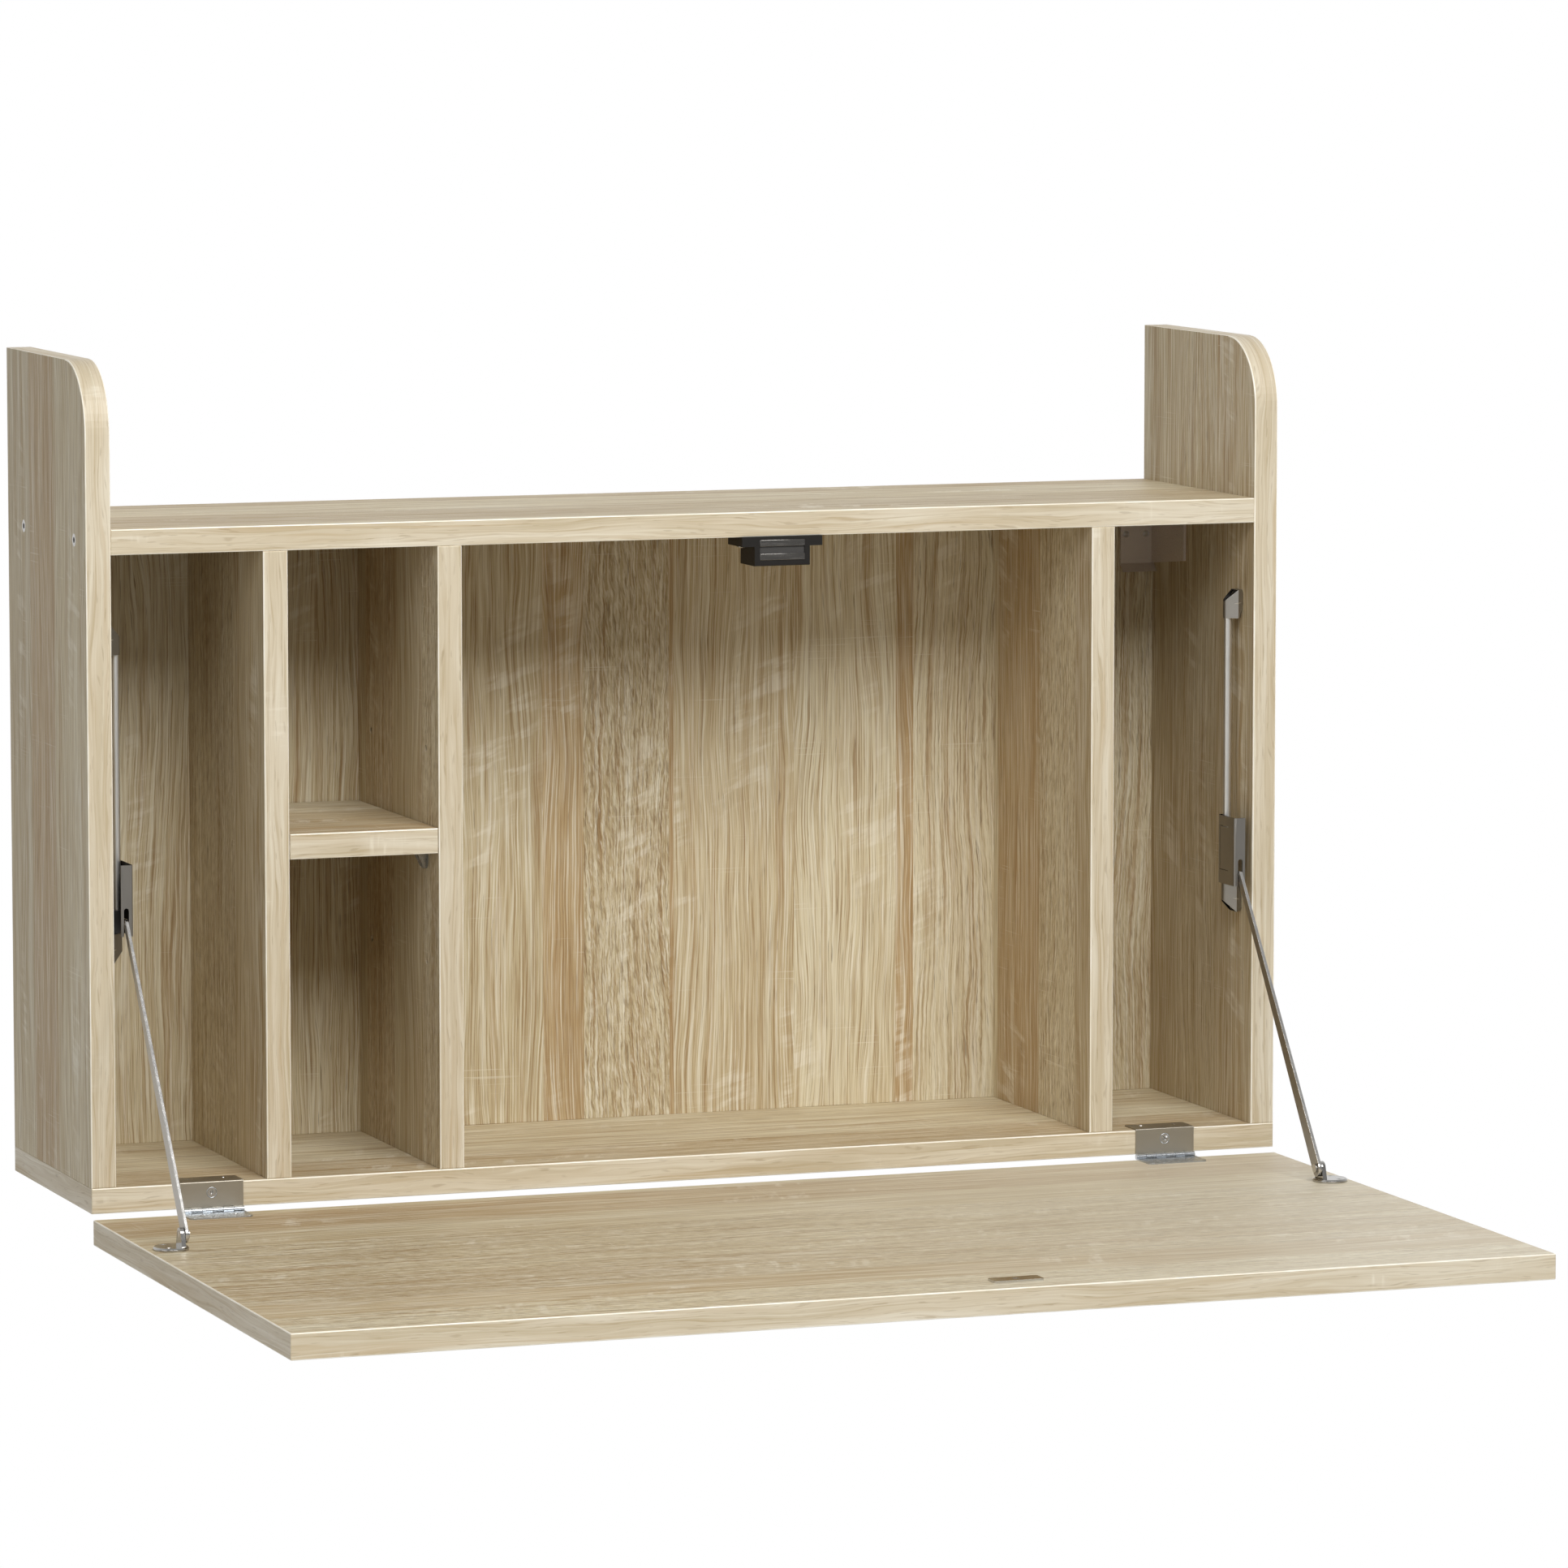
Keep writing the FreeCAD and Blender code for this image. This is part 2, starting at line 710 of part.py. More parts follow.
def arm_rivet():
    """Short rivet in the arm's upper eye, almost flush on both sides."""
    start = Vector(arm_x - arm_thickness / 2 - rivet_stand, eye_y, eye_z)
    return Part.makeCylinder(rivet_radius, arm_thickness + rivet_stand * 2, start, Vector(1, 0, 0))


def tab_start():
    """Inner face of the foot's upright tab, along X."""
    return arm_x + arm_thickness / 2 + arm_side_gap


def stay_foot(cuts):
    """Foot of the right stay: a bevelled disc with an upright tab for the arm's pin."""
    disc_x = half_width - foot_disc_inset
    disc = Part.makeCylinder(foot_disc_radius, foot_disc_thickness, Vector(disc_x, foot_y, desk_top))
    disc_top = desk_top + foot_disc_thickness
    rims = [edge for edge in disc.Edges if abs(edge.BoundBox.ZMin - disc_top) < foot_disc_bevel / 2]
    disc = disc.makeChamfer(foot_disc_bevel, rims)
    x0 = tab_start()
    half = foot_tab_base_width / 2
    low = desk_top + foot_disc_thickness / 2
    lean = math.atan2(half - foot_tab_top_radius, foot_z - low)
    rise = foot_z + foot_tab_top_radius * math.sin(lean)
    wide = foot_tab_top_radius * math.cos(lean)
    points = [Vector(x0, foot_y - wide, rise), Vector(x0, foot_y - half, low),
              Vector(x0, foot_y + half, low), Vector(x0, foot_y + wide, rise)]
    crown = arc(points[-1], Vector(x0, foot_y, foot_z + foot_tab_top_radius), points[0])
    tab = prism(lines(points) + [crown], Vector(foot_tab_thickness, 0, 0))
    hole_start = Vector(x0, foot_y, foot_z)
    hole = Part.makeCylinder(foot_pin_radius, foot_tab_thickness, hole_start, Vector(1, 0, 0))
    return joined([disc, tab]).cut(hole).cut(cuts)


def foot_pin():
    """Pivot pin of the right foot, with a low head on the arm's inner side."""
    head_face = arm_x - arm_thickness / 2 - arm_side_gap
    head_start = Vector(head_face - foot_pin_head_height, foot_y, foot_z)
    end = tab_start() + foot_tab_thickness
    head = Part.makeCylinder(foot_pin_head_radius, foot_pin_head_height, head_start, Vector(1, 0, 0))
    shank = Part.makeCylinder(foot_pin_radius, end - head_start.x, head_start, Vector(1, 0, 0))
    return joined([head, shank])


def foot_screws():
    """Two screws through each foot's disc."""
    screws = []
    for side in (-1, 1):
        at = Vector(half_width - foot_screw_inset, foot_y + side * foot_screw_offset,
                    desk_top + foot_disc_thickness)
        screws.append(sunk_screw(at, Vector(0, 0, -1), foot_screw_head_radius, foot_screw_head_depth,
                                 foot_screw_shank_radius, foot_screw_length))
    return both_sides(screws)


def catch_case(cuts):
    """Plastic case of the catch: a block with two ears and a mouth for the plates."""
    half = catch_width / 2
    low = shelf_under - catch_height
    block = box(main_centre - half, main_centre + half, catch_front, catch_front + catch_depth, low,
                shelf_under)
    ears = box(main_centre - half - catch_ear_width, main_centre + half + catch_ear_width, catch_front,
               catch_front + catch_depth, shelf_under - catch_ear_height, shelf_under)
    body = joined([block, ears])
    body = body.makeFillet(catch_edge_radius, edges_at(body, y=catch_front, z=low))
    mouth = box(main_centre - pole_plate_width / 2, main_centre + pole_plate_width / 2,
                catch_front - overrun, pole_face + pole_plate_length, stack_top - stack_height, stack_top)
    return body.cut(mouth).cut(cuts)


def pole_plates():
    """Two steel plates that carry the magnet's pull to the strike."""
    x0 = main_centre - pole_plate_width / 2
    plates = []
    for low in (stack_top - pole_plate_thickness, stack_top - stack_height):
        plates.append(box(x0, x0 + pole_plate_width, pole_face, pole_face + pole_plate_length, low,
                          low + pole_plate_thickness))
    return group(plates)


def catch_magnet():
    """Magnet between the two plates."""
    x0 = main_centre - pole_plate_width / 2
    low = stack_top - pole_plate_thickness - magnet_thickness
    return box(x0, x0 + pole_plate_width, catch_front + magnet_recess, pole_face + pole_plate_length, low,
               low + magnet_thickness)


def catch_screws():
    """One screw up through each ear into the shelf."""
    offset = catch_width / 2 + catch_ear_width / 2
    screws = []
    for side in (-1, 1):
        at = Vector(main_centre + side * offset, catch_front + catch_depth / 2,
                    shelf_under - catch_ear_height)
        screws.append(pan_screw(at, Vector(0, 0, 1), catch_screw_head_radius, catch_screw_head_height,
                                catch_screw_shank_radius, catch_screw_length))
    return group(screws)


def strike_plate(cuts):
    """Steel plate on the desk that meets the catch."""
    half = strike_width / 2
    y = pivot_y - strike_distance
    plate = box(main_centre - half, main_centre + half, y - strike_length / 2, y + strike_length / 2,
                desk_top, desk_top + strike_thickness)
    corners = edges_at(plate, z=desk_top + strike_thickness / 2)
    uprights = [edge for edge in corners if edge.BoundBox.ZLength > strike_thickness / 2]
    return plate.makeFillet(strike_corner_radius, uprights).cut(cuts)


def strike_screw():
    """Screw in the middle of the strike plate."""
    at = Vector(main_centre, pivot_y - strike_distance, desk_top + strike_thickness)
    return sunk_screw(at, Vector(0, 0, -1), strike_screw_head_radius, strike_screw_head_depth,
                      strike_screw_shank_radius, strike_screw_length)


def wall_holes():
    """Holes for the wall screws through the right bracket and the back board."""
    holes = []
    for offset in (0, wall_hole_spacing):
        at = Vector(side_inner - wall_hole_inset - offset, -board - bracket_sheet - overrun,
                    shelf_under - wall_hole_drop)
        holes.append(Part.makeCylinder(wall_hole_radius, board + bracket_sheet + overrun * 2, at,
                                       Vector(0, 1, 0)))
    return holes


def wall_bracket(cuts):
    """Right corner bracket: legs on the back board and the side, a flange under the shelf."""
    x0 = side_inner - bracket_width
    back = -board
    y0 = back - bracket_depth
    low = shelf_under - bracket_height
    side_low = shelf_under - bracket_side_height
    back_leg = box(x0, side_inner, back - bracket_sheet, back, low, shelf_under)
    x1 = side_inner - bracket_sheet
    side = [Vector(x1, back, low), Vector(x1, back, shelf_under), Vector(x1, y0, shelf_under),
            Vector(x1, y0, side_low)]
    side_leg = prism(lines(side + side[:1]), Vector(bracket_sheet, 0, 0))
    z = shelf_under - bracket_sheet
    flange = [Vector(x0, back, z), Vector(side_inner, back, z), Vector(side_inner, y0, z),
              Vector(side_inner - bracket_flange_width, y0, z), Vector(x0, back - bracket_flange_depth, z)]
    top_flange = prism(lines(flange + flange[:1]), Vector(0, 0, bracket_sheet))
    lip = [Vector(x0, back, low), Vector(x0, back - bracket_lip, low - bracket_lip),
           Vector(x0, back - bracket_lip - bracket_sheet, low - bracket_lip),
           Vector(x0, back - bracket_sheet, low)]
    lower_lip = prism(lines(lip + lip[:1]), Vector(bracket_width, 0, 0))
    return joined([back_leg, side_leg, top_flange, lower_lip]).cut(cuts).cut(group(wall_holes()))


def bracket_screws():
    """Two screws up through each bracket's flange into the shelf."""
    z = shelf_under - bracket_sheet
    x = side_inner - bracket_flange_width / 2 - bracket_sheet
    screws = []
    for y in (-board - bracket_screw_setback, -board - bracket_depth + bracket_screw_setback):
        screws.append(pan_screw(Vector(x, y, z), Vector(0, 0, 1), bracket_screw_head_radius,
                                bracket_screw_head_height, bracket_screw_shank_radius,
                                bracket_screw_length))
    return both_sides(screws)


def build():
    """Every piece by its name."""
    parts = {}
    fasteners = {
        "shelf_screws": shelf_screws(),
        "bottom_screws": bottom_screws(),
        "shelf_dowels": shelf_dowels(),
        "back_dowels": back_dowels(),
        "hinge_cabinet_screws": edge_leaf_screws(),
        "hinge_desk_screws": desk_leaf_screws(),
        "stay_mount_screws": mount_screws(),
        "stay_foot_screws": foot_screws(),
        "catch_screws": catch_screws(),
        "strike_screw": strike_screw(),
        "wall_bracket_screws": bracket_screws(),
    }
    parts.update(fasteners)
    every_fastener = group(list(fasteners.values()))

    right_side = side_board(every_fastener)
    parts["side_right"] = right_side
    parts["side_left"] = mirrored(right_side)
    parts["top_shelf"] = box(-side_inner, side_inner, front, 0, shelf_under, shelf_top).cut(every_fastener)
    parts["bottom_board"] = box(-half_width, half_width, front, 0, 0, board).cut(every_fastener)
    back_holes = wall_holes() + [mirrored(hole) for hole in wall_holes()]
    back_board = box(-side_inner, side_inner, -board, 0, board, shelf_under)
    parts["back_board"] = back_board.cut(every_fastener).cut(group(back_holes))

    left_holes = peg_holes(divider_left_x + board, -1)
    middle_holes = peg_holes(divider_middle_x, 1)
    parts["divider_left"] = divider(divider_left_x, every_fastener).cut(left_holes)
    parts["divider_middle"] = divider(divider_middle_x, every_fastener).cut(middle_holes)
    parts["divider_right"] = divider(divider_right_x, every_fastener)
    parts["small_shelf"] = small_shelf()
    parts["shelf_pegs"] = shelf_pegs()

    desk_board = box(-half_width, half_width, desk_front, desk_back, desk_top - board, desk_top)
    parts["desk_board"] = desk_board.cut(every_fastener)

    for name, leaf in (("hinge_cabinet_leaf", edge_leaf(every_fastener)),
                       ("hinge_desk_leaf", desk_leaf(every_fastener)), ("hinge_pin", hinge_pin())):
        parts[name + "_right"] = leaf
        parts[name + "_left"] = second_hinge(leaf)

    mount = rod_mount()
    stay = {
        "stay_rod": stay_rod(),
        "stay_upper_mount": mount.cut(every_fastener),
        "stay_lower_mount": lower_rod_mount(mount).cut(every_fastener),
        "stay_housing": slider_housing(),
        "stay_glide": slider_glide(),
        "stay_arm": stay_arm(),
        "stay_arm_rivet": arm_rivet(),
        "stay_foot": stay_foot(every_fastener),
        "stay_foot_pin": foot_pin(),
        "wall_bracket": wall_bracket(every_fastener),
    }
    for name, shape in stay.items():
        parts[name + "_right"] = shape
        parts[name + "_left"] = mirrored(shape)

    parts["catch_case"] = catch_case(every_fastener)
    parts["catch_pole_plates"] = pole_plates()
    parts["catch_magnet"] = catch_magnet()
    parts["strike_plate"] = strike_plate(every_fastener)
    return parts


def main():
    os.makedirs("parts", exist_ok=True)
    for name, shape in build().items():
        if not shape.isValid():
            print("not valid:", name)
        shape.exportStep(f"parts/{name}.step")
        print(f"{name}: {len(shape.Solids)} solid(s), {shape.Volume:.0f} mm3")
    open_lean = math.atan2(eye_y - foot_y, eye_z - foot_z)
    closed_lean = math.atan2(eye_y - closed_foot_y, closed_eye_z - closed_foot_z)
    arm_turn = open_lean - closed_lean
    print(f"arm length {arm_length:.4f}, slider travel {slider_travel:.6f}")
    print(f"arm against desk {-90 - math.degrees(arm_turn):.6f} degrees for a fold of 90")


main()
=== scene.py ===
import json
import math

import bmesh
import bpy
from mathutils import Matrix, Vector

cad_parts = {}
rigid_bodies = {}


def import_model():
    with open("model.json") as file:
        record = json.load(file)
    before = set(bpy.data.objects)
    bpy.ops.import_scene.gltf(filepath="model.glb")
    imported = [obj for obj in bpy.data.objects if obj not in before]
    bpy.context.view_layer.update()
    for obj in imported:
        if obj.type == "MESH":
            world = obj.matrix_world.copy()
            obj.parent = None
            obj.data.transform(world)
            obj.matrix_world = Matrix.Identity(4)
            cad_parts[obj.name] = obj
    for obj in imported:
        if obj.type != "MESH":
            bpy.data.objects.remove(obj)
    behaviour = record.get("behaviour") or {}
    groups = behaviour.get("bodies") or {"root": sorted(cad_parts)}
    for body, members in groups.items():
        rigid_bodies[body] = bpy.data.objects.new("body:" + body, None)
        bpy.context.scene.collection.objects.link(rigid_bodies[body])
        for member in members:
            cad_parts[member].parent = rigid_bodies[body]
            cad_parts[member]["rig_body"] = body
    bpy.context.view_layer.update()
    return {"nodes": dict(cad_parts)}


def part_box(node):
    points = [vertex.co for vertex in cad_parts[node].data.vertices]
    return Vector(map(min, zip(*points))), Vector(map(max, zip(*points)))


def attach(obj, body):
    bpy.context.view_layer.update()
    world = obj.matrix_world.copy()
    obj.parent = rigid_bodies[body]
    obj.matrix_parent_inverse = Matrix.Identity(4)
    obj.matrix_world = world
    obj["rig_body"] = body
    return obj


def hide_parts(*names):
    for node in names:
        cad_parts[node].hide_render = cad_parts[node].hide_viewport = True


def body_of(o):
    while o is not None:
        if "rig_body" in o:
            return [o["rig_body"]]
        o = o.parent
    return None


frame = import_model()
scene = bpy.context.scene


# Lengths are in metres. Colours are written as a picture shows them, from 0 to 255.
def shade(red, green, blue):
    """The linear colour that Blender wants."""
    values = []
    for part in (red, green, blue):
        part = part / 255
        values.append(part / 12.92 if part <= 0.04045 else ((part + 0.055) / 1.055) ** 2.4)
    return (*values, 1.0)


class Shader:
    """The nodes of one material, added one at a time."""

    def __init__(self, name):
        self.material = bpy.data.materials.new(name)
        self.material.use_nodes = True
        self.tree = self.material.node_tree
        self.tree.nodes.clear()
        self.output = self.tree.nodes.new("ShaderNodeOutputMaterial")
        self.place = self.add("ShaderNodeTexCoord").outputs["Object"]

    def add(self, kind, links=None, **settings):
        node = self.tree.nodes.new(kind)
        for key, value in settings.items():
            setattr(node, key, value)
        for socket, value in (links or {}).items():
            if isinstance(value, bpy.types.NodeSocket):
                self.tree.links.new(value, node.inputs[socket])
            else:
                node.inputs[socket].default_value = value
        return node

    def scaled(self, scale, turn=(0, 0, 0), start=None):
        links = {"Vector": start or self.place, "Rotation": turn, "Scale": scale}
        return self.add("ShaderNodeMapping", links).outputs["Vector"]

    def moved(self, place, x=0.0, y=0.0):
        step = self.add("ShaderNodeCombineXYZ", {"X": x, "Y": y}).outputs["Vector"]
        node = self.add("ShaderNodeVectorMath", {0: place, 1: step}, operation="ADD")
        return node.outputs["Vector"]

    def noise(self, vector, detail=2, roughness=0.5):
        links = {"Vector": vector, "Scale": 1.0, "Detail": detail, "Roughness": roughness}
        return self.add("ShaderNodeTexNoise", links).outputs["Fac"]

    def layer(self, kind, start, turn=0.0):
        """A field of noise drawn out along the grain, as a table of layers says."""
        along, across, detail, roughness = kind
        vector = self.scaled((along, across, across), turn=(0, 0, turn), start=start)
        return self.noise(vector, detail, roughness)

    def between(self, value, low, high, bottom=0.0, top=1.0):
        links = {"Value": value, "From Min": low, "From Max": high}
        links.update({"To Min": bottom, "To Max": top})
        node = self.add("ShaderNodeMapRange", links, interpolation_type="SMOOTHSTEP")
        return node.outputs["Result"]

    def math(self, operation, first, second=0.0, third=0.0):
        links = {0: first, 1: second, 2: third}
        return self.add("ShaderNodeMath", links, operation=operation).outputs["Value"]

    def mix(self, amount, first, second):
        node = self.add("ShaderNodeMix", data_type="RGBA")
        for socket, value in (("Factor_Float", amount), ("A_Color", first), ("B_Color", second)):
            target = next(i for i in node.inputs if i.identifier == socket)
            if isinstance(value, bpy.types.NodeSocket):
                self.tree.links.new(value, target)
            else:
                target.default_value = value
        return next(o for o in node.outputs if o.identifier == "Result_Color")

    def stained(self, color, stains):
        """Tints a colour where fields mark it: not at a field's low end, most at its high end."""
        for field, low, high, amount, tint in stains:
            color = self.mix(self.between(field, low, high, 0.0, amount), color, shade(*tint))
        return color

    def ramp(self, value, stops, interpolation="LINEAR"):
        node = self.add("ShaderNodeValToRGB", {"Fac": value})
        node.color_ramp.interpolation = interpolation
        elements = node.color_ramp.elements
        elements.remove(elements[1])
        elements[0].position, elements[0].color = stops[0]
        for place, color in stops[1:]:
            elements.new(place).color = color
        return node.outputs["Color"]

    def bump(self, height, distance, strength):
        links = {"Height": height, "Distance": distance, "Strength": strength}
        return self.add("ShaderNodeBump", links).outputs["Normal"]

    def finish(self, **inputs):
        links = {name.replace("_", " "): value for name, value in inputs.items()}
        surface = self.add("ShaderNodeBsdfPrincipled", links)
        self.tree.links.new(surface.outputs["BSDF"], self.output.inputs["Surface"])
        return self.material


# The laminate. Its pattern is drawn in the board's own grain attribute: along the grain,
# across it, and through the board. Its fields of noise are told by how often they repeat in a
# metre, along the grain and across it, and by their detail and roughness.
OAK = {
    "bend": (4.0, 15, 2, 0.5),
    "ripple": (70, 190, 2, 0.5),
    "broad": (1.5, 15, 3, 0.55),
    "streak": (2.8, 125, 4, 0.62),
    "lines": (8, 760, 3, 0.6),
    "hairs": (26, 1800, 2, 0.5),
    "pores": (34, 720, 2, 0.5),
    "curl": (105, 820, 3, 0.55),
    "haze patch": (2.6, 11, 2, 0.5),
    "haze": (20, 150, 3, 0.65),
    "stroke patch": (6.5, 22, 1, 0.5),
    "strokes": (90, 20, 3, 0.6),
    "scratch patch": (30, 13, 1, 0.5),
    "scratches": (900, 14, 1, 0.5),
}
BAND = {
    "bend": (7, 60, 2, 0.5),
    "broad": (5.5, 60, 3, 0.55),
    "streak": (3.2, 190, 3, 0.6),
    "lines": (7, 620, 3, 0.6),
    "pores": (55, 820, 1, 0.5),
    "cloud": (12, 36, 2, 0.55),
    "cross": (210, 26, 2, 0.6),
}
STRIPS_PER_METRE = 14.0
PALE_FIBRE = (232, 226, 208)
UNTURNED = (1, 1, 1)
SEED_STEP = 1.7
CURL_LEAN, STROKE_LEAN, CROSS_LEAN = 0.10, 0.34, 0.3
BOARD_RELIEF, BAND_RELIEF = 0.00012, 0.00004


def grain_of(s):
    return s.add("ShaderNodeAttribute", attribute_name="grain").outputs["Vector"]


def strip_values(s, across, seed, strips):
    """Three values of each printed strip of oak: random ones, or those of a list of strips."""
    if strips is None:
        place = s.math("ADD", across, seed * SEED_STEP)
        cells = {"W": place, "Scale": STRIPS_PER_METRE, "Randomness": 1.0}
        color = s.add("ShaderNodeTexVoronoi", cells, voronoi_dimensions="1D").outputs["Color"]
    else:
        low, high, stops = strips
        links = {"Value": across, "From Min": low, "From Max": high}
        place = s.add("ShaderNodeMapRange", links).outputs["Result"]
        stops = [((x - low) / (high - low), (*values, 1.0)) for x, *values in stops]
        color = s.ramp(place, stops, "CONSTANT")
    split = s.add("ShaderNodeSeparateColor", {"Color": color}).outputs
    return split["Red"], split["Green"], split["Blue"]


def laminate(name, seed, strips=None, pale=None):
    s = Shader(name)
    grain = grain_of(s)
    along, across, _ = s.add("ShaderNodeSeparateXYZ", {"Vector": grain}).outputs
    tone, wild, warm = strip_values(s, across, seed, strips)
    shift_along = s.math("MULTIPLY_ADD", tone, 3.1, seed * SEED_STEP)
    shift_across = s.math("MULTIPLY_ADD", wild, 0.9, seed * 0.53)
    start = s.moved(grain, shift_along, shift_across)
    bend = s.between(s.layer(OAK["bend"], start), 0.2, 0.8, -0.006, 0.006)
    ripple = s.math("SUBTRACT", s.layer(OAK["ripple"], start), 0.5)
    ripple = s.math("MULTIPLY", ripple, s.between(wild, 0.30, 1.0, 0.0006, 0.0030))
    place = s.moved(start, y=s.math("ADD", bend, ripple))

    broad, streak, lines, hairs, pores = (
        s.layer(OAK[kind], place) for kind in ("broad", "streak", "lines", "hairs", "pores")
    )
    pores = s.math("ADD", pores, s.between(wild, 0.2, 1.0, -0.045, 0.020))
    deep = s.between(broad, 0.35, 0.6, 0.4, 1.0)
    pores = s.math("MULTIPLY", s.between(pores, 0.59, 0.71), deep)

    level = s.math("MULTIPLY_ADD", tone, 0.40, s.math("MULTIPLY", broad, 0.60))
    tones = [(0.28, (176, 158, 123)), (0.48, (196, 181, 146)), (0.68, (212, 200, 168))]
    color = s.ramp(level, [(stop, shade(*tint)) for stop, tint in tones])
    stains = (
        (warm, 0.62, 0.98, 0.52, (178, 142, 92)),
        (streak, 0.50, 0.74, 0.60, (163, 129, 83)),
        (streak, 0.48, 0.28, 0.48, (220, 213, 189)),
        (lines, 0.50, 0.68, 0.70, (146, 113, 70)),
        (lines, 0.49, 0.34, 0.62, PALE_FIBRE),
        (hairs, 0.50, 0.70, 0.46, (136, 106, 66)),
        (hairs, 0.46, 0.28, 0.40, PALE_FIBRE),
    )
    color = s.stained(color, stains)
    curly = s.between(wild, 0.55, 0.95)
    leaning = s.scaled(UNTURNED, turn=(0, 0, CURL_LEAN), start=place)
    curl = s.layer(OAK["curl"], leaning)
    curls = ((0.52, 0.64, 0.46, (126, 97, 60)), (0.46, 0.34, 0.42, (234, 228, 212)))
    for low, high, amount, tint in curls:
        amount = s.math("MULTIPLY", s.between(curl, low, high), s.math("MULTIPLY", curly, amount))
        color = s.mix(amount, color, shade(*tint))
    color = s.mix(s.math("MULTIPLY", pores, 0.58), color, shade(104, 80, 51))

    # Pale haze, and on it strokes and scratches as of a dry brush.
    haze_patch = s.between(s.layer(OAK["haze patch"], start), 0.50, 0.72)
    haze = s.between(s.layer(OAK["haze"], place, CURL_LEAN), 0.45, 0.70, 0.0, 0.55)
    color = s.mix(s.math("MULTIPLY", haze, haze_patch), color, shade(224, 217, 198))
    stroke_patch = s.between(s.layer(OAK["stroke patch"], start), 0.56, 0.70)
    tilted = s.scaled(UNTURNED, turn=(0, 0, STROKE_LEAN), start=place)
    strokes = s.between(s.layer(OAK["strokes"], tilted), 0.50, 0.66, 0.0, 0.72)
    fibres = s.between(lines, 0.58, 0.40, 0.25, 1.0)
    strokes = s.math("MULTIPLY", strokes, s.math("MULTIPLY", stroke_patch, fibres))
    scratch_patch = s.between(s.layer(OAK["scratch patch"], start), 0.57, 0.68)
    scratches = s.between(s.layer(OAK["scratches"], start), 0.64, 0.74, 0.0, 0.36)
    scratches = s.math("MULTIPLY", scratches, scratch_patch)
    color = s.mix(s.math("MAXIMUM", strokes, scratches), color, shade(230, 223, 205))
    # A painted sheen, paler along the grain.
    if pale:
        color = s.mix(s.between(along, *pale), color, shade(226, 221, 206))
    sunk = s.math("MULTIPLY_ADD", curl, curly, pores)
    height = s.math("SUBTRACT", s.math("MULTIPLY", lines, -0.45), sunk)
    normal = s.bump(height, BOARD_RELIEF, 0.45)
    rough = s.between(streak, 0.3, 0.7, 0.44, 0.56)
    return s.finish(Base_Color=color, Roughness=rough, Normal=normal, Specular_IOR_Level=0.42)


def edge_band(name, seed):
    """The band on the boards' edges: paler than the faces, with fine lines and few marks."""
    s = Shader(name)
    start = s.moved(grain_of(s), seed * 1.9, seed * 0.61)
    bend = s.between(s.layer(BAND["bend"], start), 0.2, 0.8, -0.0035, 0.0035)
    place = s.moved(start, y=bend)
    broad, streak, lines, pores = (
        s.layer(BAND[kind], place) for kind in ("broad", "streak", "lines", "pores")
    )
    tones = [(0.34, (195, 181, 153)), (0.5, (206, 193, 168)), (0.66, (217, 207, 186))]
    color = s.ramp(broad, [(stop, shade(*tint)) for stop, tint in tones])
    stains = (
        (streak, 0.50, 0.70, 0.60, (190, 169, 134)),
        (streak, 0.48, 0.30, 0.60, (225, 216, 197)),
        (lines, 0.50, 0.68, 0.55, (176, 156, 120)),
        (lines, 0.47, 0.32, 0.45, (226, 219, 200)),
    )
    color = s.stained(color, stains)
    pores = s.math("MULTIPLY", s.between(pores, 0.62, 0.71), 0.30)
    color = s.mix(pores, color, shade(140, 116, 80))
    cloud = s.between(s.layer(BAND["cloud"], start), 0.58, 0.76)
    cross = s.between(s.layer(BAND["cross"], start, CROSS_LEAN), 0.50, 0.70, 0.20, 0.55)
    color = s.mix(s.math("MULTIPLY", cloud, cross), color, shade(238, 232, 216))
    normal = s.bump(lines, BAND_RELIEF, 0.4)
    rough = s.between(streak, 0.3, 0.7, 0.38, 0.50)
    return s.finish(Base_Color=color, Roughness=rough, Normal=normal, Specular_IOR_Level=0.45)


# The milled edge of the band: paler plastic, and brighter still with a painted highlight.
def band_rim():
    s = Shader("band_rim")
    field = s.noise(s.scaled((40, 40, 40)))
    color = s.mix(s.between(field, 0.35, 0.65), shade(238, 230, 210), shade(250, 245, 232))
    return s.finish(Base_Color=color, Roughness=0.35, Specular_IOR_Level=0.5)


# Strips of the back board from left to right: where each starts, its tone, how wild its pores
# are, and its warmth.
BACK_STRIPS = [
    (-0.450, 0.80, 0.46, 0.30),
    (-0.372, 0.92, 0.52, 0.35),
    (-0.296, 0.62, 0.20, 0.55),
    (-0.226, 0.48, 0.60, 0.35),
    (-0.150, 0.58, 0.30, 0.40),
    (-0.053, 0.46, 0.10, 0.90),
    (-0.024, 0.10, 0.30, 0.70),
    (-0.0234, 0.42, 1.00, 0.10),
    (0.0455, 0.00, 0.10, 0.95),
    (0.0463, 0.56, 0.02, 0.74),
    (0.141, 0.90, 0.12, 0.40),
    (0.2225, 0.05, 0.10, 0.90),
    (0.2231, 0.22, 0.22, 1.00),
    (0.2375, 0.84, 0.68, 0.45),
    (0.303, 0.45, 0.30, 0.55),
    (0.372, 0.70, 0.75, 0.30),
]
BACK_SPAN = (-0.45, 0.45)
# A painted sheen makes the desk board paler from left to right: where it starts and ends, and
# by how much.
DESK_PAINTED_SHEEN = (-0.30, 0.40, 0.0, 0.42)


def metal(name, color, roughness, grain, grain_depth=0.00001, spread=0.06):
    s = Shader(name)
    field = s.noise(s.scaled(grain), 3, 0.6)
    rough = s.between(field, 0.25, 0.75, roughness - spread, roughness + spread)
    normal = s.bump(field, grain_depth, 0.5)
    return s.finish(Base_Color=color, Metallic=1.0, Roughness=rough, Normal=normal)


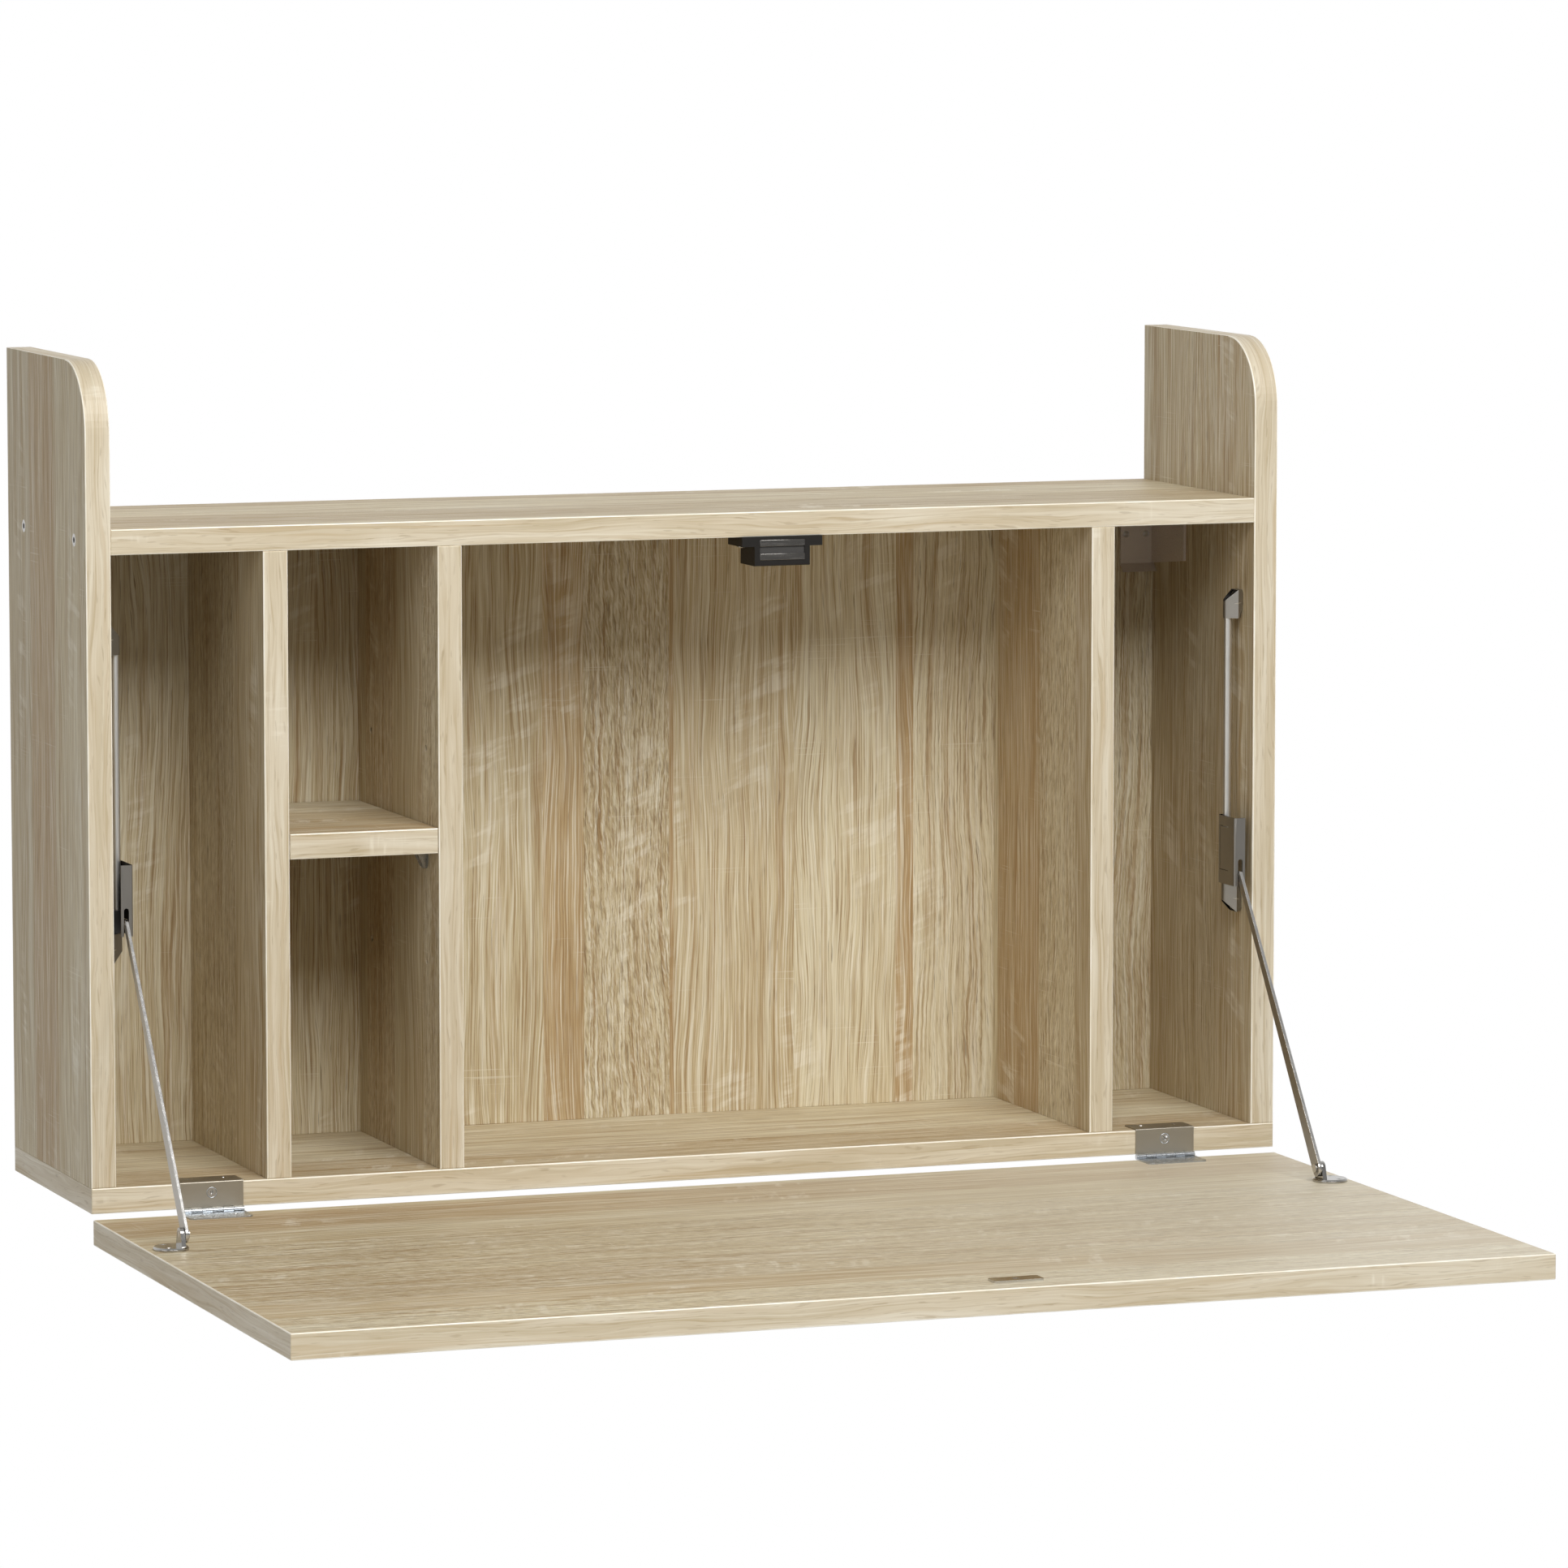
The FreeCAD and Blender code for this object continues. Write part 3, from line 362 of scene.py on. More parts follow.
def coated(name, color, roughness, grain=1500, specular=0.5):
    s = Shader(name)
    field = s.noise(s.scaled((grain, grain, grain)))
    darker = (color[0] * 0.6, color[1] * 0.6, color[2] * 0.6, 1.0)
    tone = s.mix(s.between(field, 0.3, 0.7, 0.0, 0.18), color, darker)
    rough = s.between(field, 0.25, 0.75, roughness - 0.05, roughness + 0.05)
    normal = s.bump(field, 0.00002, 0.5)
    return s.finish(Base_Color=tone, Roughness=rough, Normal=normal, Specular_IOR_Level=specular)


def clear_plastic():
    s = Shader("clear_peg")
    field = s.noise(s.scaled((700, 700, 700)))
    look = {"Base_Color": shade(235, 238, 238), "Transmission_Weight": 0.75, "IOR": 1.49}
    look["Roughness"] = s.between(field, 0.3, 0.7, 0.12, 0.22)
    return s.finish(**look, Normal=s.bump(field, 0.00001, 0.3))


def put_slots(obj, *materials):
    for material in materials:
        obj.data.materials.append(material)


def put_material(obj, *materials):
    obj.data.materials.clear()
    put_slots(obj, *materials)


def link_mesh(name, mesh):
    obj = bpy.data.objects.new(name, mesh)
    scene.collection.objects.link(obj)
    return obj


def linked_shape(name, shape):
    """Turns a shape that is done into a piece of the scene."""
    mesh = bpy.data.meshes.new(name)
    shape.to_mesh(mesh)
    shape.free()
    return link_mesh(name, mesh)


SAME_POINT = 1e-6
# A face larger than this, in square metres, keeps flat shading.
LARGE_FACE = 0.00002


def joined(mesh):
    """A shape to work on, without the doubled points of a mesh."""
    shape = bmesh.new()
    shape.from_mesh(mesh)
    bmesh.ops.remove_doubles(shape, verts=shape.verts, dist=SAME_POINT)
    return shape


def cleaned(mesh, degrees=0.5):
    """The same, with the edges inside its flat faces gone too."""
    shape = joined(mesh)
    limit = math.radians(degrees)
    bmesh.ops.dissolve_limit(shape, angle_limit=limit, verts=shape.verts, edges=shape.edges)
    return shape


def bent_edges(shape, degrees, shortest):
    """The edges that bend by more than an angle and are long enough for a bevel."""
    least = math.radians(degrees)
    return [
        edge
        for edge in shape.edges
        if edge.is_manifold and edge.calc_face_angle(0) > least and edge.calc_length() > shortest
    ]


def bevel(shape, edges, size, segments, **material):
    style = {"offset_type": "OFFSET", "profile": 0.5, "affect": "EDGES", "clamp_overlap": True}
    bmesh.ops.bevel(shape, geom=edges, offset=size, segments=segments, **style, **material)


def smooth_all(mesh, degrees):
    mesh.polygons.foreach_set("use_smooth", [True] * len(mesh.polygons))
    mesh.set_sharp_from_angle(angle=math.radians(degrees))


def shade_smoothly(mesh, degrees):
    """Smooth shading that leaves every large face flat."""
    smooth_all(mesh, degrees)
    edges = {tuple(sorted(edge.vertices)): edge for edge in mesh.edges}
    for polygon in mesh.polygons:
        if polygon.area > LARGE_FACE:
            for key in polygon.edge_keys:
                edges[tuple(sorted(key))].use_edge_sharp = True


# How edges are eased: the shortest that is, the least bend of one that is, and the least bend
# that shading leaves sharp, both in degrees.
BOARD_EDGES = {"shortest": 0.0035, "bend": 25, "sharp": 15}
FITTING_EDGES = {"shortest": 0.0004, "bend": 35, "sharp": 32}
BOARD_BEVEL = 0.0008
HIDDEN_BEVEL, HIDDEN_BEND = 0.00025, 75


def eased(node, size, shortest, bend, sharp, seen=None):
    """A piece with eased edges, made from the node's own shape, so that it lies where it lies."""
    source = frame["nodes"][node]
    shape = cleaned(source.data)
    edges = bent_edges(shape, bend, shortest)
    if seen is not None:
        edges = [edge for edge in edges if all(seen(vertex.co) for vertex in edge.verts)]
    bevel(shape, edges, size, 2)
    if seen is not None:
        bevel(shape, bent_edges(shape, HIDDEN_BEND, shortest), HIDDEN_BEVEL, 1)
    obj = linked_shape(node + "_eased", shape)
    shade_smoothly(obj.data, sharp)
    body = body_of(source)[0]
    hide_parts(node)
    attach(obj, body)
    return obj


# Each board: the way its grain runs, the way through its thickness, and a number that picks
# its stretch of the pattern.
BOARDS = {
    "side_right": ("Z", "X", 1),
    "side_left": ("Z", "X", 2),
    "top_shelf": ("X", "Z", 3),
    "bottom_board": ("X", "Z", 4),
    "back_board": ("Z", "Y", 5),
    "divider_left": ("Z", "X", 6),
    "divider_middle": ("Z", "X", 7),
    "divider_right": ("Z", "X", 8),
    "small_shelf": ("X", "Z", 9),
    "desk_board": ("X", "Z", 10),
}
SIDE_CORNER = 0.05
CORNER_ZONE = 0.0515
WALL_ZONE = 0.001
FRONT_ZONE = 0.0012
# How much a face looks through the board: from FLAT on it is a face of the board, and below
# UPRIGHT it is an edge.
FLAT, UPRIGHT = 0.98, 0.08
BAND_LAYER = 0.3


def run_of_side_band(y, z, front, top):
    """How far a point lies along the band that runs up a side's front and round its corner."""
    turn_y = front + SIDE_CORNER
    turn_z = top - SIDE_CORNER
    if z <= turn_z or y > 0:
        return z
    if y >= turn_y:
        return turn_z + SIDE_CORNER * math.pi / 2 + (y - turn_y)
    return turn_z + SIDE_CORNER * math.atan2(z - turn_z, turn_y - y)


def seen_edge(node):
    """Tells where a board's edge is open to the eye: the rest meet another board or the wall."""
    low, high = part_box(node)

    def seen(place):
        if node == "desk_board":
            return True
        if node == "back_board":
            return False
        at_corner = place.z > high[2] - CORNER_ZONE and place.y < high[1] - WALL_ZONE
        rounded = node.startswith("side_") and at_corner
        return place.y < low[1] + FRONT_ZONE or rounded

    return seen


def put_grain(obj, node, along, through):
    """Writes the grain attribute, and gives each face its material: face, band, or the milled
    edge, paler and with a painted highlight.
    """
    seen = seen_edge(node)
    mesh = obj.data
    a, t = "XYZ".index(along), "XYZ".index(through)
    c = 3 - a - t
    low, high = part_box(node)
    values = []
    for polygon in mesh.polygons:
        lean = abs(polygon.normal[t])
        if UPRIGHT <= lean <= FLAT and not seen(polygon.center):
            lean = 1.0
        ends = abs(polygon.normal[a]) > abs(polygon.normal[c])
        if lean > FLAT:
            polygon.material_index = 0
        elif lean < UPRIGHT:
            polygon.material_index = 1
        else:
            polygon.material_index = 2
        for index in polygon.loop_indices:
            place = mesh.vertices[mesh.loops[index].vertex_index].co
            if lean > FLAT:
                values += [place[a], place[c], place[t]]
            elif node.startswith("side_"):
                run = run_of_side_band(place.y, place.z, low[1], high[2])
                values += [run, place.x, BAND_LAYER]
            elif ends:
                values += [place[c], place[t], BAND_LAYER]
            else:
                values += [place[a], place[t], BAND_LAYER]
    attribute = mesh.attributes.new("grain", "FLOAT_VECTOR", "CORNER")
    attribute.data.foreach_set("vector", values)


rim_highlight = band_rim()
for node, (along, through, seed) in BOARDS.items():
    piece = eased(node, BOARD_BEVEL, **BOARD_EDGES, seen=seen_edge(node))
    strips = (*BACK_SPAN, BACK_STRIPS) if node == "back_board" else None
    pale = DESK_PAINTED_SHEEN if node == "desk_board" else None
    face = laminate(node + "_face", seed, strips, pale)
    band = edge_band(node + "_band", seed)
    put_material(piece, face, band, rim_highlight)
    put_grain(piece, node, along, through)

# How often the grain of a metal repeats in a metre, along X, Y and Z.
FINE, CAST, POLISHED = (900, 900, 900), (1400, 1400, 1400), (160, 160, 160)
ROLLED, DRAWN = (700, 4200, 4200), (2600, 2600, 60)
BRUSHED, GROUND = (300, 1200, 1200), (60, 500, 500)

steel = metal("screw_steel", shade(186, 184, 180), 0.30, FINE, 0.0000015)
plate = metal("hinge_plate", shade(172, 165, 151), 0.44, ROLLED, spread=0.03)
# Bright plate of the desk leaf; on the cabinet leaf's knuckle and pressed ring it is a painted
# highlight.
bright_plate_and_highlight = metal("hinge_plate_bright", shade(182, 186, 190), 0.28, ROLLED, 0.0000015, 0.03)
nickel = metal("bright_nickel", shade(206, 204, 200), 0.20, POLISHED, 0.0000002, 0.03)
# A darker brushed nickel for the arm's flat sides: a brushed finish, darkened as painted shade.
satin_shade = metal("satin_nickel", shade(176, 172, 166), 0.40, BRUSHED, 0.0000006, 0.03)
foot_nickel = metal("foot_nickel", shade(176, 174, 170), 0.15, POLISHED, 0.0000002, 0.03)
rod_steel = metal("stay_steel", shade(222, 220, 215), 0.42, DRAWN, 0.000002)
housing_steel = metal("housing_steel", shade(158, 154, 148), 0.36, DRAWN, 0.000008)
cast_zinc = metal("cast_zinc", shade(158, 154, 147), 0.42, CAST)
# Paler zinc for the mounts' bevels: partly wear, partly a painted highlight.
worn_highlight_zinc = metal("cast_zinc_worn", shade(226, 223, 218), 0.36, CAST)
# A dark colour painted as shade inside the stay's housing and in the mounts' pockets.
painted_shade = coated("dark_hollow", shade(30, 28, 26), 0.6, specular=0.15)
glide = coated("glide_plastic", shade(52, 52, 54), 0.45)
catch = coated("catch_plastic", shade(36, 34, 32), 0.42, specular=0.22)
pole_steel = metal("pole_steel", shade(128, 125, 121), 0.24, GROUND, spread=0.12)
ferrite = coated("magnet", shade(60, 58, 56), 0.55)
paint = coated("bracket_paint", shade(216, 205, 196), 0.30, 900)
pale_wood = coated("bare_wood", shade(205, 180, 140), 0.7, 400)
peg = clear_plastic()

FINISHES = {
    "screw_steel": steel,
    "hinge_plate": plate,
    "bright_nickel": nickel,
    "stay_steel": rod_steel,
    "glide_plastic": glide,
    "catch_plastic": catch,
    "magnet": ferrite,
    "bracket_paint": paint,
    "bare_wood": pale_wood,
    "clear_plastic": peg,
}
SLOTS = {node: obj.data.materials[0].name.split(".")[0] for node, obj in frame["nodes"].items()}
for node, obj in frame["nodes"].items():
    put_material(obj, pale_wood if node in BOARDS else FINISHES[SLOTS[node]])

# Fittings with eased edges: the bevel and the main material. The others that a face may take
# are told by their numbers.
EASED = {
    "hinge_cabinet_leaf": (0.00020, plate),
    "hinge_desk_leaf": (0.00020, bright_plate_and_highlight),
    "stay_housing": (0.00022, housing_steel),
    "stay_arm": (0.00030, nickel),
    "stay_foot": (0.00025, foot_nickel),
    "wall_bracket": (0.00045, paint),
    "catch_case": (0.00040, catch),
    "catch_pole_plates": (0.00030, pole_steel),
    "strike_plate": (0.00020, nickel),
}
MAIN, SHADED_INSIDE, SATIN_SHADE, KNUCKLE_HIGHLIGHT = range(4)
HOUSING_SKIN = 0.0008
ARM_SIDE = 0.95
KNUCKLE_RADIUS = 0.0023


def face_sorter(name, node):
    """Tells which material each face of a fitting takes, where it has more than one."""
    # Faces inside the housing take the dark colour painted as shade.
    if name == "stay_housing":
        low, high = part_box(node)

        def number(face):
            across = (face.center[i] for i in (0, 1))
            inside = (a + HOUSING_SKIN < c < b - HOUSING_SKIN for a, c, b in zip(low, across, high))
            return SHADED_INSIDE if all(inside) else MAIN

        return number
    # The arm's flat sides take the darker brushed nickel, darkened as painted shade.
    if name == "stay_arm":
        return lambda face: SATIN_SHADE if abs(face.normal.x) > ARM_SIDE else MAIN
    # The cabinet leaf's knuckle takes the bright plate as a painted highlight.
    if name == "hinge_cabinet_leaf":
        low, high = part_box(node.replace("cabinet_leaf", "pin"))
        pin_y, pin_z = (low[1] + high[1]) / 2, (low[2] + high[2]) / 2

        def number(face):
            away = math.hypot(face.center.y - pin_y, face.center.z - pin_z)
            return KNUCKLE_HIGHLIGHT if away < KNUCKLE_RADIUS else MAIN

        return number
    return None


for name, (size, material) in EASED.items():
    for node in [node for node in SLOTS if node in (name, name + "_left", name + "_right")]:
        piece = eased(node, size, **FITTING_EDGES)
        put_material(piece, material, painted_shade, satin_shade, bright_plate_and_highlight)
        number = face_sorter(name, node)
        if number:
            for polygon in piece.data.polygons:
                polygon.material_index = number(polygon)


def cut_out(obj, parts):
    """Cuts closed meshes out of a piece."""
    verts, faces = [], []
    for more, sides in parts:
        faces += [tuple(len(verts) + i for i in side) for side in sides]
        verts += more
    tool_mesh = bpy.data.meshes.new(obj.name + "_tool")
    tool_mesh.from_pydata(verts, [], faces)
    tool = link_mesh(obj.name + "_tool", tool_mesh)
    cut = obj.modifiers.new("recess", "BOOLEAN")
    cut.operation = "DIFFERENCE"
    cut.solver = "EXACT"
    cut.object = tool
    evaluated = obj.evaluated_get(bpy.context.evaluated_depsgraph_get())
    made = bpy.data.meshes.new_from_object(evaluated)
    obj.modifiers.clear()
    obj.data = made
    bpy.data.objects.remove(tool)


def ring_of_points(count, radius):
    turns = (2 * math.pi * k / count for k in range(count))
    return [(radius * math.cos(turn), radius * math.sin(turn)) for turn in turns]


def hull(shape, places):
    """The tight skin round a set of points."""
    verts = [shape.verts.new(place) for place in places]
    made = bmesh.ops.convex_hull(shape, input=verts)
    spare = [item for item in made["geom_interior"] if isinstance(item, bmesh.types.BMVert)]
    bmesh.ops.delete(shape, geom=spare, context="VERTS")
    bmesh.ops.recalc_face_normals(shape, faces=shape.faces)


def rod_of(start, end, radius, count=40):
    """A round bar's mesh between two points."""
    turned = (end - start).to_track_quat("Z", "Y").to_matrix()
    around = ring_of_points(count, radius)
    verts = [place + turned @ Vector((x, y, 0)) for place in (start, end) for x, y in around]
    faces = [(k, (k + 1) % count, count + (k + 1) % count, count + k) for k in range(count)]
    return verts, faces + [tuple(reversed(range(count))), tuple(range(count, 2 * count))]


# A rod mount's points are told in the distance from the side board, forward of the rod's
# axis, and up from the rod's side of the mount. Its bevels take a paler zinc, partly wear and
# partly a painted highlight, and its pocket takes a dark colour painted as shade.
WORN_HIGHLIGHT, SHADED_POCKET = 1, 2
MOUNT_HEIGHT = 0.021
MOUNT_FRONT, MOUNT_BACK = 0.0085, -0.0046
RIDGE_REACH, RIDGE_BACK = 0.0046, -0.0045
SEAT_FRONT, SEAT_LOW = 0.0070, 0.0105
CUT_CORNER = (0, 0.0020, 0)
ROUND_START, ROUND_RADIUS, ROUND_STEPS = 0.0172, 0.0038, 5
ROD_REACH, BOSS_RADIUS, BOSS_STEPS = 0.0092, 0.0037, 28
TOP_FALL, TOP_RUN = 0.0086, 0.0083
SOCKET_RADIUS, SOCKET_MOUTH = 0.00302, -0.002
POCKET_RADIUS, POCKET_RISE = 0.0037, 0.0166
POCKET_START, POCKET_END = 0.0040, 0.0200
POCKET_FACES, POCKET_FLOOR = 0.00375, 0.0039
MOUNT_BEVEL, MOUNT_BEND, MOUNT_SHORTEST, MOUNT_SHARP = 0.00030, 24, 0.0012, 20
# A small bright star on the mount's front, painted as a glint: its height and its points.
GLINT_RISE = 0.0112
GLINT_RIB = (
    (0.0072, 0.0065, -0.0003),
    (0.0018, 0.0076, 0.0004),
    (RIDGE_REACH, MOUNT_FRONT, 0.0005),
    (RIDGE_REACH, MOUNT_FRONT, -0.0005),
    (RIDGE_REACH, 0.0088, 0),
    (RIDGE_REACH, 0.0075, 0),
)


def mount_top(reach):
    return MOUNT_HEIGHT - max(0.0, reach - RIDGE_REACH) * TOP_FALL / TOP_RUN


def mount_points():
    points = [(RIDGE_REACH, MOUNT_FRONT, 0), (RIDGE_REACH, MOUNT_FRONT, MOUNT_HEIGHT)]
    points += [(0, SEAT_FRONT, SEAT_LOW), (0, SEAT_FRONT, ROUND_START), CUT_CORNER]
    points += [(0, MOUNT_BACK, 0), (0, MOUNT_BACK, MOUNT_HEIGHT)]
    points.append((RIDGE_REACH, RIDGE_BACK, MOUNT_HEIGHT))
    for k in range(1, ROUND_STEPS + 1):
        turn = math.pi / 2 * k / ROUND_STEPS
        forward = SEAT_FRONT - ROUND_RADIUS * (1 - math.cos(turn))
        points.append((0, forward, ROUND_START + ROUND_RADIUS * math.sin(turn)))
    for across, forward in ring_of_points(BOSS_STEPS, BOSS_RADIUS):
        reach = ROD_REACH + across
        points += [(reach, forward, 0), (reach, forward, mount_top(reach))]
    return points


def rod_mount(node):
    low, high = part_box(node)
    side = 1 if node.endswith("right") else -1
    board = high[0] if side > 0 else low[0]

    def place(reach, forward, rise):
        z = low[2] + rise if "upper" in node else high[2] - rise
        return Vector((board - side * reach, low[1] + MOUNT_FRONT - forward, z))

    shape = bmesh.new()
    hull(shape, [place(*point) for point in mount_points()])
    piece = linked_shape(node + "_cast", shape)
    rod_low, rod_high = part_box(node.replace("upper_mount", "rod").replace("lower_mount", "rod"))
    mouth, end = place(ROD_REACH, 0, SOCKET_MOUTH), place(ROD_REACH, 0, 0)
    end.z = rod_high[2] if "upper" in node else rod_low[2]
    seat, outer = place(POCKET_START, 0, POCKET_RISE), place(POCKET_END, 0, POCKET_RISE)
    cut_out(piece, [rod_of(mouth, end, SOCKET_RADIUS), rod_of(seat, outer, POCKET_RADIUS)])
    put_slots(piece, cast_zinc, worn_highlight_zinc, painted_shade)
    shape = cleaned(piece.data, 1)
    bevel(shape, bent_edges(shape, MOUNT_BEND, MOUNT_SHORTEST), MOUNT_BEVEL, 2, material=WORN_HIGHLIGHT)
    shape.to_mesh(piece.data)
    shape.free()
    # Faces in the pocket take the dark colour painted as shade.
    for polygon in piece.data.polygons:
        away = math.hypot(polygon.center.y - seat.y, polygon.center.z - seat.z)
        if away < POCKET_FACES and abs(polygon.center.x - board) > POCKET_FLOOR:
            polygon.material_index = SHADED_POCKET
    shade_smoothly(piece.data, MOUNT_SHARP)
    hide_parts(node)
    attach(piece, "cabinet")

    # The bright star painted as a glint on the mount's front.
    shape = bmesh.new()
    hull(shape, [place(reach, forward, GLINT_RISE + rise) for reach, forward, rise in GLINT_RIB])
    glint_rib = linked_shape(node + "_rib", shape)
    put_material(glint_rib, worn_highlight_zinc)
    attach(glint_rib, "cabinet")


for node in SLOTS:
    if "_mount_" in node and "screws" not in node:
        rod_mount(node)


def islands(shape):
    """The separate solids of a mesh, as lists of vertices, in the same order in every run."""
    taken = set()
    found = []
    for start in shape.verts:
        if start in taken:
            continue
        taken.add(start)
        waiting = [start]
        group = []
        while waiting:
            vertex = waiting.pop()
            group.append(vertex)
            for edge in vertex.link_edges:
                other = edge.other_vert(vertex)
                if other not in taken:
                    taken.add(other)
                    waiting.append(other)
        found.append(group)
    return found


HEAD_ZONE = 0.0022


def head_of(group):
    """Where a screw's head is, the way it faces and its radius."""
    places = [vertex.co for vertex in group]
    low = Vector(min(p[i] for p in places) for i in range(3))
    high = Vector(max(p[i] for p in places) for i in range(3))
    axis = max(range(3), key=lambda i: high[i] - low[i])
    middle = (low + high) / 2
    reach = {}
    for end in (low[axis], high[axis]):
        near = [p for p in places if abs(p[axis] - end) < HEAD_ZONE]
        reach[end] = max(
            math.hypot(*(p[i] - middle[i] for i in range(3) if i != axis)) for p in near
        )
    end = max(reach, key=reach.get)
    facing = Vector((0, 0, 0))
    facing[axis] = 1 if end == high[axis] else -1
    middle[axis] = end
    return middle, facing, reach[end]


def cutter(middle, facing, outline, narrow, depth, turn):
    """A mesh that cuts a recess: the outline is sunk along the screw, narrowing to its end."""
    turned = facing.to_track_quat("Z", "Y").to_matrix() @ Matrix.Rotation(turn, 3, "Z")
    verts, faces = [], []
    count = len(outline)
    for rise, size in ((depth * 0.5, 1.0), (0.0, 1.0), (-depth, narrow)):
        verts += [middle + turned @ Vector((x * size, y * size, rise)) for x, y in outline]
    for ring in (0, count):
        for i in range(count):
            j = (i + 1) % count
            faces.append((ring + i, ring + count + i, ring + count + j, ring + j))
    faces.append(tuple(range(count)))
    faces.append(tuple(2 * count + i for i in reversed(range(count))))
    return verts, faces


def cross_outline(radius):
    arm, half = radius * 0.62, radius * 0.15
    points = [(arm, half), (half, half), (half, arm), (-half, arm), (-half, half), (-arm, half)]
    return points + [(-x, -y) for x, y in points]


def hex_outline(radius):
    return [
        (radius * 0.5 * math.cos(k * math.pi / 3), radius * 0.5 * math.sin(k * math.pi / 3))
        for k in range(6)
    ]


# The recess in a screw's head: its outline, how far it narrows and its depth in head radii.
CROSS = (cross_outline, 0.35, 0.45)
HEXAGON = (hex_outline, 1.0, 0.7)
SCREW_SHARP = 28
# Each screw is turned by its own place, so it looks the same in every run.
TURN_PER_METRE = 40


def recessed(node, outline, narrow, depth_share):
    source = frame["nodes"][node]
    shape = cleaned(source.data)
    parts = []
    for group in islands(shape):
        middle, facing, radius = head_of(group)
        turn = TURN_PER_METRE * (middle.x + 2 * middle.y + 3 * middle.z)
        depth = radius * depth_share
        parts.append(cutter(middle, facing, outline(radius), narrow, depth, turn))
    obj = linked_shape(node + "_recessed", shape)
    cut_out(obj, parts)
    smooth_all(obj.data, SCREW_SHARP)
    put_material(obj, FINISHES[SLOTS[node]])
    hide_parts(node)
    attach(obj, body_of(source)[0])


for node in SLOTS:
    if node in ("shelf_screws", "bottom_screws"):
        recessed(node, *HEXAGON)
    elif SLOTS[node] == "screw_steel":
        recessed(node, *CROSS)


# The pressed ring round the screw in the front of each hinge leaf, in bright plate painted as a
# highlight.
RING_GAP, RING_WIRE = 0.0006, 0.00032
RING_STEPS, WIRE_STEPS = 48, 10


def pressed_ring(name, centre, facing, radius, body):
    turned = facing.to_track_quat("Z", "Y").to_matrix()
    verts, faces = [], []
    for i in range(RING_STEPS):
        turn = 2 * math.pi * i / RING_STEPS
        spoke = turned @ Vector((math.cos(turn), math.sin(turn), 0))
        here, there = i * WIRE_STEPS, (i + 1) % RING_STEPS * WIRE_STEPS
        for j in range(WIRE_STEPS):
            lift = 2 * math.pi * j / WIRE_STEPS
            out = radius + RING_WIRE * math.cos(lift)
            verts.append(centre + spoke * out + facing * RING_WIRE * math.sin(lift))
            k = (j + 1) % WIRE_STEPS
            faces.append((here + j, there + j, there + k, here + k))
    mesh = bpy.data.meshes.new(name)
    mesh.from_pydata(verts, [], faces)
    mesh.polygons.foreach_set("use_smooth", [True] * len(mesh.polygons))
    obj = link_mesh(name, mesh)
    put_material(obj, bright_plate_and_highlight)
    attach(obj, body)


hinge_screws = joined(frame["nodes"]["hinge_cabinet_screws"].data)
for group in islands(hinge_screws):
    middle, facing, radius = head_of(group)
    if facing.y < -0.5:
        name = "hinge_ring_" + ("right" if middle.x > 0 else "left")
        pressed_ring(name, middle, facing, radius + RING_GAP, "cabinet")
hinge_screws.free()


# Floor, light and camera.
FLOOR_Z = -0.75
FLOOR_X, FLOOR_FRONT, FLOOR_BACK = 4, -4, 1.2


def floor():
    front = [(-FLOOR_X, FLOOR_FRONT, FLOOR_Z), (FLOOR_X, FLOOR_FRONT, FLOOR_Z)]
    back = [(FLOOR_X, FLOOR_BACK, FLOOR_Z), (-FLOOR_X, FLOOR_BACK, FLOOR_Z)]
    mesh = bpy.data.meshes.new("studio_floor")
    mesh.from_pydata(front + back, [], [(0, 1, 2, 3)])
    obj = link_mesh("studio_floor", mesh)
    s = Shader("floor_pale")
    rough = s.between(s.noise(s.scaled((6, 6, 6))), 0.3, 0.7, 0.6, 0.7)
    put_material(obj, s.finish(Base_Color=shade(214, 214, 212), Roughness=rough))


# Each light's place, what it points at, its size, its power, and whether metal mirrors it.
LIGHTS = {
    "key": ((0.05, -3.1, 2.84), (0, -0.2, 0.2), (2.7, 1.9), 150, True),
    "fill": ((-3.4, -2.2, 0.9), (0, -0.1, 0.3), (2.2, 2.2), 20, True),
    "behind": ((0.6, 3.4, 0.75), (0, 0, 0.25), (2.0, 1.2), 62, False),
    "side": ((3.4, 0.9, 0.8), (0.45, 0, 0.25), (1.2, 1.0), 20, False),
}


def area_light(name, place, target, size, power, mirrored):
    data = bpy.data.lights.new(name, "AREA")
    data.shape = "RECTANGLE"
    data.size, data.size_y = size
    data.energy = power
    obj = bpy.data.objects.new(name, data)
    obj.visible_glossy = mirrored
    obj.location = place
    direction = Vector(target) - Vector(place)
    obj.rotation_euler = direction.to_track_quat("-Z", "Y").to_euler()
    scene.collection.objects.link(obj)


WARM, WHITE = (1.0, 0.965, 0.915, 1), (1, 1, 1, 1)
LIT_STRENGTH, SEEN_STRENGTH = 0.19, 1.0
